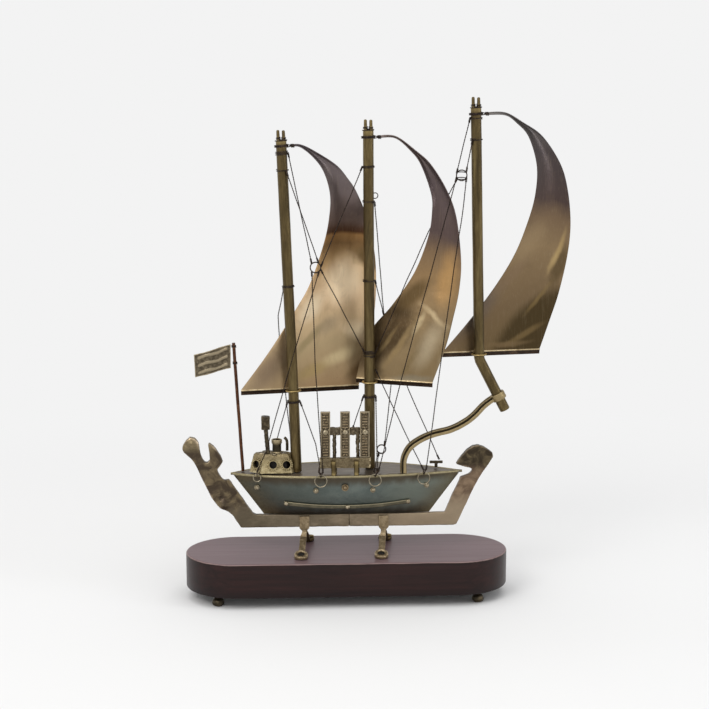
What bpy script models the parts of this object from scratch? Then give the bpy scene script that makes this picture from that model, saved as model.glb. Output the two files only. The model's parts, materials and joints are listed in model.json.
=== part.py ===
"""Three-masted sailing ship made of scrap brass and steel, standing on a wooden plinth.

Every length below is in millimetres and the finished meshes are in metres.
X runs from stern to bow, Y from the near side to the far side, and Z is up.
The origin is on the table, below the middle of the plinth.
"""

import math

import bmesh
import bpy
from mathutils import Matrix, Vector

METRES = 0.001
GAP = 0.3

# The deck that every place on the ship below is drawn for: places move when the deck changes
DRAWN_HALF_LENGTH = 101.0
DRAWN_HALF_BEAM = 28.0
DRAWN_DECK_LIFT = 51.5

# Plinth and its ball feet
PLINTH_LENGTH = 280.0
PLINTH_DEPTH = 90.0
PLINTH_HEIGHT = 30.0
PLINTH_EDGE = 1.2
FOOT_RADIUS = 5.2
FOOT_DROP = 10.0
FOOT_NECK = 2.2
FOOT_END_INSET = 28.0
FOOT_SIDE_INSET = 15.0

# Keel castings and the four legs that carry them
KEEL_CLEARANCE = 21.0
KEEL_HEIGHT = 11.5
KEEL_THICKNESS = 5.0
KEEL_STERN_X = -92.0
KEEL_BOW_X = 93.0
KEEL_JOINT_X = 2.0
ARM_FOOT_INSET = 7.5
LEG_THICKNESS = 1.8
LEG_TAB_WIDTH = 8.6
LEG_WAIST_WIDTH = 3.6
LEG_SHANK_WIDTH = 5.6
LEG_SPREAD = 28.5
LEG_TOE_OUT = 3.5
LEG_STERN_X = -37.0
LEG_BOW_X = 32.0
LEG_RING_RADIUS = 6.0
LEG_RING_HOLE = 2.6
LEG_RING_HEIGHT = 3.2

# Hull and deck
HULL_HEIGHT = 37.2
HULL_KEEL_HALF_LENGTH = 72.0
HULL_KEEL_HALF_BEAM = 4.0
HULL_WALL = 1.2
HULL_FLARE_POWER = 0.55
DECK_HALF_LENGTH = 101.0
DECK_HALF_BEAM = 28.0
DECK_OVERHANG = 2.0
DECK_THICKNESS = 2.2
DECK_DROP = 2.5
DECK_EDGE = 0.5
DECK_TIP_HALF_WIDTH = 0.6
STERN_FULLNESS = 2.7
BOW_FULLNESS = 1.9
STRAKE_HALF_LENGTH = 54.0
STRAKE_WIDTH = 4.0
STRAKE_THICKNESS = 1.1
STRAKE_SAG = 3.0
STRAKE_LIFT = 0.333
STUD_RADIUS = 2.2
ROSETTE_RADIUS = 3.1
STUD_DROP = 12.0
ROSETTE_DROP = 8.8
HULL_RING_RADIUS = 5.2
QUARTER_RING_RADIUS = 3.2
HULL_RING_RISE = 1.3
HULL_RING_WIRE = 0.65

# Wheelhouse group
WHEELHOUSE_STERN_X = -84.0
WHEELHOUSE_BOW_X = -43.0
WHEELHOUSE_NEAR_Y = -16.5
WHEELHOUSE_FAR_Y = 5.0
WHEELHOUSE_HEIGHT = 16.2
WHEELHOUSE_WALL = 1.6
WHEELHOUSE_BATTER = 3.6
ROOF_EDGE = 1.8
PORTHOLE_RADIUS = 3.4
PORTHOLE_LIFT = 7.5
FUNNEL_RADIUS = 4.1
FUNNEL_HEIGHT = 11.5
LEVER_RADIUS = 1.9
LEVER_HEIGHT = 22.0
HOOK_RADIUS = 1.3
FLAGPOLE_RADIUS = 1.5
FLAGPOLE_HEIGHT = 112.8
FLAG_LENGTH = 31.5
FLAG_WIDTH = 20.5
FLAG_THICKNESS = 1.2

# Column rack amidships
RACK_Y = -22.0
RACK_X = -2.4
BEAM_LENGTH = 43.4
BEAM_HEIGHT = 8.8
BEAM_DEPTH = 4.4
BEAM_LIFT = 5.6
COLUMN_PITCH = 16.8
COLUMN_WIDTH = 8.2
COLUMN_HEIGHT = 40.0
COLUMN_THICKNESS = 2.6
CROSSBAR_HEIGHT = 6.8
CROSSBAR_THICKNESS = 2.0
CROSSBAR_LIFT = 19.0
RACK_STUD_RADIUS = 2.6
RACK_PEG_RADIUS = 2.1
RACK_ROD_RADIUS = 1.6

# Masts, sails and rigging
MAST_RADIUS = 4.5
MAST_PRONG_RADIUS = 1.35
MAST_PRONG_LENGTH = 9.0
COLLAR_CLEARANCE = 0.5
COLLAR_WIRE = 0.9
SAIL_THICKNESS = 0.9
SAIL_BELLY = 4.0
SAIL_TIP_WIDTH = 2.0
SAIL_TIP_GAP = 0.8
HEM_DROP = 4.6
HEM_SET_BACK = 1.6
HEAD_WIRE = 0.6
WIRE_RADIUS = 0.5
RING_WIRE = 0.6
SHROUD_RING_RADIUS = 4.5
BOWSPRIT_WIDTH = 7.2
BOWSPRIT_HEIGHT = 5.2
BOWSPRIT_WALL = 1.5
BOWSPRIT_FLOOR = 1.8

# Heights that follow from the sizes above
PLINTH_BOTTOM = FOOT_DROP
PLINTH_TOP = PLINTH_BOTTOM + PLINTH_HEIGHT
KEEL_BOTTOM = PLINTH_TOP + KEEL_CLEARANCE
KEEL_TOP = KEEL_BOTTOM + KEEL_HEIGHT
HULL_BOTTOM = KEEL_TOP + GAP
DECK_UNDERSIDE = HULL_BOTTOM + HULL_HEIGHT + GAP
DECK_TOP = DECK_UNDERSIDE + DECK_THICKNESS
STRAKE_END_Z = HULL_BOTTOM + HULL_HEIGHT * STRAKE_LIFT
LENGTH_SHARE = DECK_HALF_LENGTH / DRAWN_HALF_LENGTH
BEAM_SHARE = DECK_HALF_BEAM / DRAWN_HALF_BEAM

COLOURS = {
    "mahogany": ((0.10, 0.035, 0.025), 0.35, 0.0),
    "brass": ((0.45, 0.36, 0.20), 0.38, 1.0),
    "pale_brass": ((0.62, 0.54, 0.36), 0.42, 1.0),
    "dark_bronze": ((0.16, 0.14, 0.09), 0.45, 1.0),
    "sail_brass": ((0.42, 0.33, 0.20), 0.32, 1.0),
    "hull_steel": ((0.22, 0.25, 0.24), 0.5, 1.0),
    "wire_steel": ((0.06, 0.055, 0.05), 0.5, 1.0),
}


def clear_scene():
    for thing in list(bpy.data.objects):
        bpy.data.objects.remove(thing, do_unlink=True)


def material(kind, name):
    colour, roughness, metallic = COLOURS[kind]
    made = bpy.data.materials.new(name)
    made.use_nodes = True
    shader = made.node_tree.nodes["Principled BSDF"]
    shader.inputs["Base Color"].default_value = (*colour, 1.0)
    shader.inputs["Roughness"].default_value = roughness
    shader.inputs["Metallic"].default_value = metallic
    return made


def add_object(name, points, faces, kind, pivot=None):
    """A closed mesh object. Its origin is the pivot's empty, or the world's origin."""
    base = Vector((0, 0, 0)) if pivot is None else pivot.location / METRES
    mesh = bpy.data.meshes.new(name)
    mesh.from_pydata([(Vector(p) - base) * METRES for p in points], [], faces)
    builder = bmesh.new()
    builder.from_mesh(mesh)
    bmesh.ops.recalc_face_normals(builder, faces=builder.faces)
    builder.to_mesh(mesh)
    builder.free()
    mesh.shade_smooth()
    mesh.set_sharp_from_angle(angle=math.radians(35))
    mesh.materials.append(material(kind, name))
    made = bpy.data.objects.new(name, mesh)
    bpy.context.scene.collection.objects.link(made)
    made.parent = pivot
    return made


def add_pivot(name, place):
    made = bpy.data.objects.new(name, None)
    made.location = Vector(place) * METRES
    bpy.context.scene.collection.objects.link(made)
    bpy.context.view_layer.update()
    return made


def use_as_cutter(cutter):
    cutter.hide_render = True
    cutter.display_type = "WIRE"


def add_boolean(target, other, operation):
    modifier = target.modifiers.new(other.name, "BOOLEAN")
    modifier.operation = operation
    modifier.solver = "EXACT"
    modifier.object = other
    use_as_cutter(other)


def loft(name, rings, kind, pivot=None):
    """Skins closed rings of equal length and caps the first and the last."""
    count = len(rings[0])
    points = [p for ring in rings for p in ring]
    faces = [tuple(range(count)), tuple(range(len(points) - count, len(points)))]
    for row in range(len(rings) - 1):
        for i in range(count):
            j = (i + 1) % count
            low = row * count
            faces.append((low + i, low + j, low + count + j, low + count + i))
    return add_object(name, points, faces, kind, pivot)


def frames_along(path, side):
    """For each point of a path: the point, and the two directions across the path."""
    made = []
    last = len(path) - 1
    for i, place in enumerate(path):
        ahead = Vector(path[min(i + 1, last)]) - Vector(path[max(i - 1, 0)])
        ahead.normalize()
        across = (side - ahead * side.dot(ahead)).normalized()
        made.append((Vector(place), across, ahead.cross(across)))
    return made


def sweep(name, path, profile, kind, side=Vector((0, 1, 0)), pivot=None):
    """Carries a closed profile along a path, with its first axis kept along side."""
    rings = []
    for place, across, over in frames_along(path, side):
        rings.append([place + across * a + over * b for a, b in profile])
    return loft(name, rings, kind, pivot)


def circle(radius, sides):
    turns = [2 * math.pi * i / sides for i in range(sides)]
    return [(radius * math.cos(turn), radius * math.sin(turn)) for turn in turns]


def rectangle(width, height):
    return [(-width / 2, -height / 2), (width / 2, -height / 2),
            (width / 2, height / 2), (-width / 2, height / 2)]


def rod(name, path, radius, kind, sides=16, pivot=None):
    return sweep(name, path, circle(radius, sides), kind, pivot=pivot)


def box(name, low, high, kind):
    middle_x = (low[0] + high[0]) / 2
    middle_y = (low[1] + high[1]) / 2
    path = [(middle_x, middle_y, low[2]), (middle_x, middle_y, high[2])]
    profile = rectangle(high[1] - low[1], high[0] - low[0])
    return sweep(name, path, profile, kind)


def wire_ring(name, centre, axis, radius, wire, kind, steps=20, pivot=None):
    """A ring of round wire about an axis."""
    axis = Vector(axis).normalized()
    turn_to_axis = Vector((0, 0, 1)).rotation_difference(axis).to_matrix()
    points = []
    for i in range(steps):
        spin = Matrix.Rotation(2 * math.pi * i / steps, 3, "Z")
        for a, b in circle(wire, 6):
            points.append(Vector(centre) + turn_to_axis @ (spin @ Vector((radius + a, 0, b))))
    faces = []
    for i in range(steps):
        for k in range(6):
            here = i * 6
            there = (i + 1) % steps * 6
            faces.append((here + k, there + k, there + (k + 1) % 6, here + (k + 1) % 6))
    return add_object(name, points, faces, kind, pivot)


def turned(name, centre, profile, kind, axis=(0, 0, 1), sides=20, pivot=None):
    """A solid turned about an axis, from (radius, height) pairs. Both ends are flat."""
    turn_to_axis = Vector((0, 0, 1)).rotation_difference(Vector(axis)).to_matrix()
    rings = []
    for radius, height in profile:
        ring = [Vector((a, b, height)) for a, b in circle(radius, sides)]
        rings.append([Vector(centre) + turn_to_axis @ p for p in ring])
    return loft(name, rings, kind, pivot)


def plate(name, outline, y_middle, thickness, kind):
    """An upright flat plate cut to an outline of (x, z) pairs."""
    near = [(x, y_middle - thickness / 2, z) for x, z in outline]
    far = [(x, y_middle + thickness / 2, z) for x, z in outline]
    return loft(name, [near, far], kind)


def spline(points, steps):
    """A smooth open curve through the points, with so many steps to each span."""
    made = []
    for i in range(len(points) - 1):
        p0 = Vector(points[max(i - 1, 0)])
        p1 = Vector(points[i])
        p2 = Vector(points[i + 1])
        p3 = Vector(points[min(i + 2, len(points) - 1)])
        for k in range(steps):
            t = k / steps
            bend = (2 * p0 - 5 * p1 + 4 * p2 - p3) * t * t + (3 * p1 - p0 - 3 * p2 + p3) * t ** 3
            made.append(p1 + ((p2 - p0) * t + bend) / 2)
    made.append(Vector(points[-1]))
    return made


# ---------------------------------------------------------------- hull form

def ship(x, y, z):
    """A place stated for the drawn deck, with z counted up from the deck's top amidships."""
    return Vector((x * LENGTH_SHARE, y * BEAM_SHARE, DECK_TOP + z))


def lens_share(x, half_length):
    """The share of the full beam at x, for the lens plan that hull and deck share."""
    power = STERN_FULLNESS if x < 0 else BOW_FULLNESS
    return max(0.0, 1 - abs(x / half_length) ** power)


def deck_half_beam(x):
    return DECK_HALF_BEAM * lens_share(x, DECK_HALF_LENGTH)


def deck_fall(x):
    return DECK_DROP * (x / DECK_HALF_LENGTH) ** 2


def on_deck(x, y):
    """The place just clear of the deck's top, below a drawn place."""
    place = ship(x, y, GAP)
    place.z -= deck_fall(place.x)
    return place


def hull_level(share):
    """Half length and half beam of the hull at a share of its height."""
    keel_length = HULL_KEEL_HALF_LENGTH * LENGTH_SHARE
    deck_length = DECK_HALF_LENGTH - 1.5 * DECK_OVERHANG
    flare = DECK_HALF_BEAM - DECK_OVERHANG - HULL_KEEL_HALF_BEAM
    half_length = keel_length + (deck_length - keel_length) * share
    return half_length, HULL_KEEL_HALF_BEAM + flare * share ** HULL_FLARE_POWER


def hull_half_beam(x, z):
    share = min(1.0, max(0.0, (z - HULL_BOTTOM) / (HULL_HEIGHT - deck_fall(x))))
    half_length, half_beam = hull_level(share)
    return half_beam * lens_share(x, half_length)


def lens_ring(half_length, half_beam, height_at, stations=14):
    """A closed lens outline, up the near side and back down the far side."""
    turns = [math.pi * (i / stations - 0.5) for i in range(stations + 1)]
    xs = [half_length * math.sin(turn) for turn in turns]
    near = [(x, -half_beam * lens_share(x, half_length), height_at(x)) for x in xs]
    far = [(x, -y, z) for x, y, z in near[-2:0:-1]]
    return near + far


def make_hull():
    levels = (0.0, 0.12, 0.3, 0.55, 0.8, 1.0)

    def height(share):
        return lambda x: HULL_BOTTOM + share * (HULL_HEIGHT - deck_fall(x))

    outside = [lens_ring(*hull_level(share), height(share)) for share in levels]
    inside = []
    for share in reversed(levels):
        half_length, half_beam = hull_level(share)
        floor = share if share > 0 else HULL_WALL / HULL_HEIGHT
        ring = lens_ring(half_length - 3 * HULL_WALL, half_beam - HULL_WALL, height(floor))
        inside.append(ring)
    loft("hull_shell", outside + inside, "hull_steel")


def make_deck():
    stations = 24
    rings = []
    for i in range(stations + 1):
        x = DECK_HALF_LENGTH * 0.995 * math.sin(math.pi * (i / stations - 0.5))
        half = max(deck_half_beam(x), DECK_TIP_HALF_WIDTH)
        top = DECK_TOP - deck_fall(x)
        low = top - DECK_THICKNESS
        edge = min(DECK_EDGE, half / 4)
        rings.append([(x, -half + edge, low), (x, half - edge, low), (x, half, low + edge),
                      (x, half, top - edge), (x, half - edge, top), (x, -half + edge, top),
                      (x, -half, top - edge), (x, -half, low + edge)])
    loft("deck_plate", rings, "hull_steel")


def strake_z(share):
    """The strip hangs lowest amidships. Share runs from -1 at the stern to 1 at the bow."""
    return STRAKE_END_Z - STRAKE_SAG * (1 - share ** 2)


def make_strake(name, side):
    """A riveted strip on the hull's turn. Side is -1 for near and 1 for far."""
    path = []
    for i in range(13):
        share = i / 6 - 1
        x = STRAKE_HALF_LENGTH * LENGTH_SHARE * share
        z = strake_z(share)
        stand_off = hull_half_beam(x, z + STRAKE_WIDTH / 2) + GAP + STRAKE_THICKNESS / 2
        path.append((x, side * stand_off, z))
    sweep(name, path, rectangle(STRAKE_WIDTH, STRAKE_THICKNESS), "brass", Vector((0, 0, 1)))


def stud_profile(radius):
    return [(radius * 0.9, 0), (radius, radius * 0.3), (radius * 0.8, radius * 0.75),
            (radius * 0.3, radius)]


def on_hull_side(x, drop, radius):
    """The place on the near side where a round fitting of this radius just clears the hull."""
    place = ship(x, 0, 0)
    place.z = DECK_UNDERSIDE - drop
    place.y = -hull_half_beam(place.x, place.z + radius) - GAP
    return place


def make_hull_fittings():
    for number, (x, rise) in enumerate(((-78, 0.5), (-27.4, 0), (21.5, 0), (68.7, 1)), 1):
        turned(f"hull_stud_{number}", on_hull_side(x, STUD_DROP - rise, STUD_RADIUS),
               stud_profile(STUD_RADIUS), "pale_brass", (0, -1, 0), 12)
    collar = ROSETTE_RADIUS * 0.6
    profile = [(ROSETTE_RADIUS, 0), (ROSETTE_RADIUS, 0.8), (collar, 0.8), (collar * 0.9, 1.8),
               (collar * 0.3, 2.2)]
    turned("hull_rosette", on_hull_side(-2.5, ROSETTE_DROP, ROSETTE_RADIUS), profile,
           "pale_brass", (0, -1, 0), 16)


RING_RADII = {"quarter": QUARTER_RING_RADIUS, "mizzen": HULL_RING_RADIUS,
              "main": HULL_RING_RADIUS, "fore": HULL_RING_RADIUS}


def beside_rack(end, gap, y, z):
    """A drawn place, but with x counted out from the rack's stern end, -1, or its bow end, 1."""
    place = ship(RACK_X, y, z)
    place.x += end * (BEAM_LENGTH / 2 + gap)
    return place


def ring_centre(place):
    """A shroud ring hangs just clear of the deck's edge along its whole width."""
    radius = RING_RADII[place]
    spots = {"quarter": ship(-77.7, 0, 0), "mizzen": beside_rack(-1, -0.7, 0, 0),
             "main": beside_rack(1, 3.7, 0, 0), "fore": ship(65.4, 0, 0)}
    centre = spots[place]
    centre.z -= deck_fall(centre.x)
    reach = radius + HULL_RING_WIRE
    widest = max(deck_half_beam(centre.x + share * reach) for share in (-1, -0.5, 0, 0.5, 1))
    centre.y = -widest - GAP - HULL_RING_WIRE
    centre.z += HULL_RING_RISE - radius
    return centre


def make_shroud_rings():
    for place, radius in RING_RADII.items():
        wire_ring(f"{place}_shroud_ring", ring_centre(place), (0, 1, 0), radius,
                  HULL_RING_WIRE, "wire_steel", 16)


# ---------------------------------------------------------------- plinth, legs and keel

def plinth_ring(inset, z, steps=20):
    radius = PLINTH_DEPTH / 2 - inset
    straight = PLINTH_LENGTH / 2 - PLINTH_DEPTH / 2
    ring = []
    for end in (1, -1):
        for i in range(steps + 1):
            turn = math.pi * (i / steps - 0.5)
            ring.append((end * (straight + radius * math.cos(turn)), end * radius * math.sin(turn), z))
    return ring


def make_plinth():
    low = PLINTH_BOTTOM
    top = PLINTH_TOP
    edge = PLINTH_EDGE
    rings = [plinth_ring(edge, low), plinth_ring(0, low + edge), plinth_ring(0, top - edge),
             plinth_ring(edge * 0.3, top - edge * 0.3), plinth_ring(edge, top)]
    loft("plinth", rings, "mahogany")


def make_feet():
    x = PLINTH_LENGTH / 2 - FOOT_END_INSET
    y = PLINTH_DEPTH / 2 - FOOT_SIDE_INSET
    ball = FOOT_DROP - FOOT_NECK
    profile = [(FOOT_RADIUS * 0.55, 0), (FOOT_RADIUS * 0.85, 0.12 * ball),
               (FOOT_RADIUS, 0.45 * ball), (FOOT_RADIUS * 0.9, 0.75 * ball),
               (FOOT_RADIUS * 0.5, ball), (FOOT_RADIUS * 0.45, ball + 0.4 * FOOT_NECK),
               (FOOT_RADIUS * 0.8, ball + 0.5 * FOOT_NECK), (FOOT_RADIUS * 0.8, FOOT_DROP - GAP)]
    corners = {"stern_near": (-x, -y), "stern_far": (-x, y), "bow_near": (x, -y), "bow_far": (x, y)}
    for corner, (foot_x, foot_y) in corners.items():
        turned(f"ball_foot_{corner}", (foot_x, foot_y, 0), profile, "dark_bronze")


def arm_curve(end_x, points):
    """An arm's outline, from points stated from the keel's end. It grows with the deck's lift."""
    curve = spline([(x, z, 0) for x, z in points], 2)
    share = (DECK_TOP - KEEL_BOTTOM) / DRAWN_DECK_LIFT
    return [(end_x * LENGTH_SHARE + p.x, KEEL_BOTTOM + p.y * share) for p in curve]


def stern_outline():
    """The stern casting: half the keel, then an arm that ends in a forked, snouted head."""
    back = [(-7, 11), (-11.5, 14.7), (-18, 18), (-23, 24), (-27.3, 31.6), (-32.3, 42.3),
            (-38, 54.8), (-42.4, 62), (-48.5, 67.5), (-49.5, 73.5), (-43, 80.6), (-36.6, 76.5),
            (-34, 65.5), (-30.5, 58.5), (-26.2, 60.5), (-27.6, 74), (-25.6, 75), (-19.9, 68.8),
            (-15, 59), (-20, 52), (-17, 45.7), (-14, 42.6), (-9.9, 42.9), (-6.9, 38.8)]
    joint = KEEL_JOINT_X - GAP / 2
    end = KEEL_STERN_X * LENGTH_SHARE
    return [(joint, KEEL_BOTTOM), (end, KEEL_BOTTOM), *arm_curve(KEEL_STERN_X, back),
            (end + 1.4 * ARM_FOOT_INSET, KEEL_TOP + 1.2), (end + 1.8 * ARM_FOOT_INSET, KEEL_TOP),
            (joint, KEEL_TOP)]


def bow_outline():
    """The bow casting: half the keel, then an arm that ends in a beaked head."""
    front = [(2.6, 0.8), (4.6, 4.4), (12, 20.6), (19.6, 37), (25.6, 47.3), (34.4, 60.7),
             (31, 66.4), (21, 71.4), (11.4, 67.1), (2.8, 56.2), (3.4, 54), (14.6, 51), (16, 48.3),
             (12.6, 45.1), (6.4, 43), (5, 39.5), (-0.6, 27.9)]
    joint = KEEL_JOINT_X + GAP / 2
    end = KEEL_BOW_X * LENGTH_SHARE
    return [(joint, KEEL_TOP), (joint, KEEL_BOTTOM), (end, KEEL_BOTTOM),
            *arm_curve(KEEL_BOW_X, front), (end - ARM_FOOT_INSET, KEEL_TOP)]


def make_keel():
    plate("keel_stern_casting", stern_outline(), 0, KEEL_THICKNESS, "brass")
    plate("keel_bow_casting", bow_outline(), 0, KEEL_THICKNESS, "brass")


def make_leg(name, x, side, toe):
    """A key-shaped leg: a tab on the keel's face, a slanting shank and a ring foot."""
    face = side * (KEEL_THICKNESS / 2 + GAP + LEG_THICKNESS / 2)
    rim = LEG_RING_RADIUS
    foot_z = PLINTH_TOP + GAP
    ring_at = Vector((x + toe, side * LEG_SPREAD, foot_z))
    ankle = (x + toe * 0.9, side * (LEG_SPREAD - rim + 1.0), foot_z + LEG_RING_HEIGHT / 2)
    waist = KEEL_CLEARANCE / 6
    path = [(x, face, KEEL_TOP - 1.5), (x, face, KEEL_BOTTOM - 0.5), (x, face, KEEL_BOTTOM - waist),
            (x + toe * 0.3, face * 1.9, KEEL_BOTTOM - 2.3 * waist), ankle]
    widths = [LEG_TAB_WIDTH, LEG_TAB_WIDTH, LEG_WAIST_WIDTH, LEG_SHANK_WIDTH, LEG_SHANK_WIDTH]
    rings = []
    for (place, across, over), width in zip(frames_along(path, Vector((1, 0, 0))), widths):
        rings.append([place + across * a + over * b for a, b in rectangle(width, LEG_THICKNESS)])
    leg = loft(name, rings, "brass")
    disc = [(rim * 0.92, 0), (rim, 0.7), (rim, LEG_RING_HEIGHT - 0.7), (rim * 0.88, LEG_RING_HEIGHT)]
    add_boolean(leg, turned(f"{name}_disc", ring_at, disc, "brass"), "UNION")
    bore = [(LEG_RING_HOLE, -1), (LEG_RING_HOLE, LEG_RING_HEIGHT + 1)]
    add_boolean(leg, turned(f"{name}_bore", ring_at, bore, "brass"), "DIFFERENCE")


def make_legs():
    for end, x in (("stern", LEG_STERN_X), ("bow", LEG_BOW_X)):
        make_leg(f"leg_{end}_near", x, -1, -LEG_TOE_OUT)
        make_leg(f"leg_{end}_far", x, 1, LEG_TOE_OUT)


# ---------------------------------------------------------------- things on the deck

def wheelhouse_ring(inset, z):
    """An octagon, longer along the ship, drawn in by inset all round."""
    low = ship(WHEELHOUSE_STERN_X, WHEELHOUSE_NEAR_Y, 0) + Vector((inset, inset * 0.8, 0))
    high = ship(WHEELHOUSE_BOW_X, WHEELHOUSE_FAR_Y, 0) - Vector((inset, inset * 0.8, 0))
    cut_x = 0.23 * (high.x - low.x)
    cut_y = 0.35 * (high.y - low.y)
    return [(low.x + cut_x, low.y, z), (high.x - cut_x * 0.5, low.y, z), (high.x, low.y + cut_y, z),
            (high.x, high.y - cut_y, z), (high.x - cut_x, high.y, z), (low.x + cut_x, high.y, z),
            (low.x, high.y - cut_y, z), (low.x, low.y + cut_y, z)]


def cut_porthole(shell, number, middle, outward):
    path = [middle + outward * 7, middle - outward * 5]
    hole = sweep(f"porthole_{number}", path, circle(PORTHOLE_RADIUS, 16), "brass", Vector((0, 0, 1)))
    add_boolean(shell, hole, "DIFFERENCE")


def make_wheelhouse():
    """A hollow cast deckhouse with three portholes and a notch for the mizzen mast."""
    base = on_deck(WHEELHOUSE_BOW_X, 0).z
    roof = base + WHEELHOUSE_HEIGHT
    eave = roof - WHEELHOUSE_WALL
    wall = WHEELHOUSE_WALL
    batter = WHEELHOUSE_BATTER
    rings = [wheelhouse_ring(batter + ROOF_EDGE, roof), wheelhouse_ring(batter, eave),
             wheelhouse_ring(0, base), wheelhouse_ring(wall, base),
             wheelhouse_ring(batter + wall, eave - wall)]
    shell = loft("wheelhouse", rings, "pale_brass")
    low_wall = wheelhouse_ring(batter / 2, base + PORTHOLE_LIFT)
    left, right, _, _, _, _, _, corner = (Vector(p) for p in low_wall)
    cut_porthole(shell, 1, left.lerp(right, 0.4), Vector((0, -1, 0)))
    cut_porthole(shell, 2, left.lerp(right, 0.87), Vector((0, -1, 0)))
    facet = (left - corner).cross(Vector((0, 0, 1))).normalized()
    cut_porthole(shell, 3, corner.lerp(left, 0.5), facet)
    foot, boom = mast_path("mizzen")[:2]
    below = foot - (boom - foot) * 0.2
    notch = rod("mast_notch", [below, boom], MAST_RADIUS + COLLAR_CLEARANCE, "brass", 24)
    add_boolean(shell, notch, "DIFFERENCE")
    return roof + GAP


def make_wheelhouse_top(roof):
    def on_roof(x, y, lift=0.0):
        place = ship(x, y, 0)
        place.z = roof + lift
        return place

    rim = FUNNEL_RADIUS
    funnel = [(rim * 1.05, 0), (rim * 0.95, FUNNEL_HEIGHT * 0.09), (rim * 0.95, FUNNEL_HEIGHT * 0.65),
              (rim * 1.12, FUNNEL_HEIGHT * 0.75), (rim * 1.12, FUNNEL_HEIGHT)]
    turned("funnel", on_roof(-60.5, -6), funnel, "brass")
    top = on_roof(-69.9, -9, LEVER_HEIGHT)
    lever = rod("signal_lever", [on_roof(-68, -9), on_roof(-69, -9, LEVER_HEIGHT / 2), top],
                LEVER_RADIUS, "dark_bronze", 10)
    low = top + Vector((-3.7, -3.2, -1.0))
    high = top + Vector((3.5, 3.0, 10.5))
    add_boolean(lever, box("signal_lever_head", low, high, "dark_bronze"), "UNION")
    hook = [on_roof(-51.5, 0), on_roof(-51.5, 0, 7), on_roof(-52.2, 0, 10), on_roof(-54, 0, 11.6)]
    rod("roof_hook", spline(hook, 3), HOOK_RADIUS, "dark_bronze", 10)


def make_flag():
    """A waved plate on a leaning pole at the stern."""
    pole_foot = on_deck(-89.8, 2)
    pole_top = pole_foot + Vector((-6.9, -2, FLAGPOLE_HEIGHT))
    rod("flagpole", [pole_foot, pole_top], FLAGPOLE_RADIUS, "dark_bronze", 12)
    lean = (pole_top - pole_foot).normalized()
    columns = 10
    upper = []
    lower = []
    for i in range(columns + 1):
        share = i / columns
        hoist = pole_top - lean * (1.2 + 0.5 * share)
        reach = FLAGPOLE_RADIUS + GAP + FLAG_THICKNESS * 0.67 + FLAG_LENGTH * share
        corner = hoist + Vector((-reach, 1.6 * math.sin(7.5 * share) - 0.2, -8.6 * share))
        upper.append(corner)
        lower.append(corner + Vector((0.9 * share, 0, share - FLAG_WIDTH)))
    ring = upper + lower[::-1]
    half = Vector((0, FLAG_THICKNESS / 2, 0))
    points, faces = bent_plate([p - half for p in ring], [p + half for p in ring])
    add_object("flag", points, faces, "dark_bronze")


def bent_plate(front, back):
    """Quads across two matching outlines, each out along one edge and back along the other."""
    count = len(front)
    faces = []
    for i in range(count // 2 - 1):
        far_side = count - 1 - i
        faces.append((i, i + 1, far_side - 1, far_side))
        faces.append(tuple(count + v for v in (i, far_side, far_side - 1, i + 1)))
    for i in range(count):
        j = (i + 1) % count
        faces.append((i, j, count + j, count + i))
    return front + back, faces


def make_rack():
    """Three ribbed columns on a beam, with a crossbar carried on rods behind them."""
    middle = ship(RACK_X, RACK_Y, GAP)
    deck = middle.z
    half = BEAM_LENGTH / 2
    depth = BEAM_DEPTH / 2
    beam_z = deck + BEAM_LIFT
    beam = box("rack_beam", (middle.x - half, middle.y - depth, beam_z),
               (middle.x + half, middle.y + depth, beam_z + BEAM_HEIGHT), "pale_brass")
    for number, x in enumerate((middle.x - 0.41 * half, middle.x + 0.45 * half), 1):
        peg = rod(f"rack_peg_{number}", [(x, middle.y, deck), (x, middle.y, beam_z + 2)],
                  RACK_PEG_RADIUS, "brass", 12)
        add_boolean(beam, peg, "UNION")
    column_z = beam_z + BEAM_HEIGHT + GAP
    front = middle.y - depth + 0.6
    back = front + COLUMN_THICKNESS
    bar_z = column_z + CROSSBAR_LIFT
    for number in range(3):
        x = middle.x + (number - 1) * COLUMN_PITCH
        low = (x - COLUMN_WIDTH / 2, front, column_z)
        high = (x + COLUMN_WIDTH / 2, back, column_z + COLUMN_HEIGHT)
        box(f"rack_column_{number + 1}", low, high, "dark_bronze")
        turned(f"rack_stud_{number + 1}", (x, front - GAP, bar_z + CROSSBAR_HEIGHT / 2),
               stud_profile(RACK_STUD_RADIUS), "pale_brass", (0, -1, 0), 14)
    bar_y = back + GAP
    bar = box("rack_crossbar", (middle.x - half + 1, bar_y, bar_z),
              (middle.x + half - 1, bar_y + CROSSBAR_THICKNESS, bar_z + CROSSBAR_HEIGHT), "dark_bronze")
    rod_y = max(middle.y + depth + GAP, bar_y) + RACK_ROD_RADIUS
    for number, x in enumerate((middle.x - 0.41 * half, middle.x + 0.51 * half), 1):
        path = [(x, rod_y, deck), (x, rod_y, bar_z + CROSSBAR_HEIGHT / 2)]
        rear = rod(f"rack_rear_rod_{number}", path, RACK_ROD_RADIUS, "dark_bronze", 12)
        add_boolean(bar, rear, "UNION")


def make_cleat():
    """A T-shaped cleat near the bow."""
    foot = on_deck(78.3, 5)
    x = foot.x
    arm = foot.z + 3.6
    top = foot.z + 5.8
    outline = [(x - 1.3, foot.z), (x + 1.3, foot.z), (x + 1.3, arm), (x + 5.7, arm),
               (x + 5.7, top), (x - 5.7, top), (x - 5.7, arm), (x - 1.3, arm)]
    plate("deck_cleat", outline, foot.y, 2.4, "dark_bronze")


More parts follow.
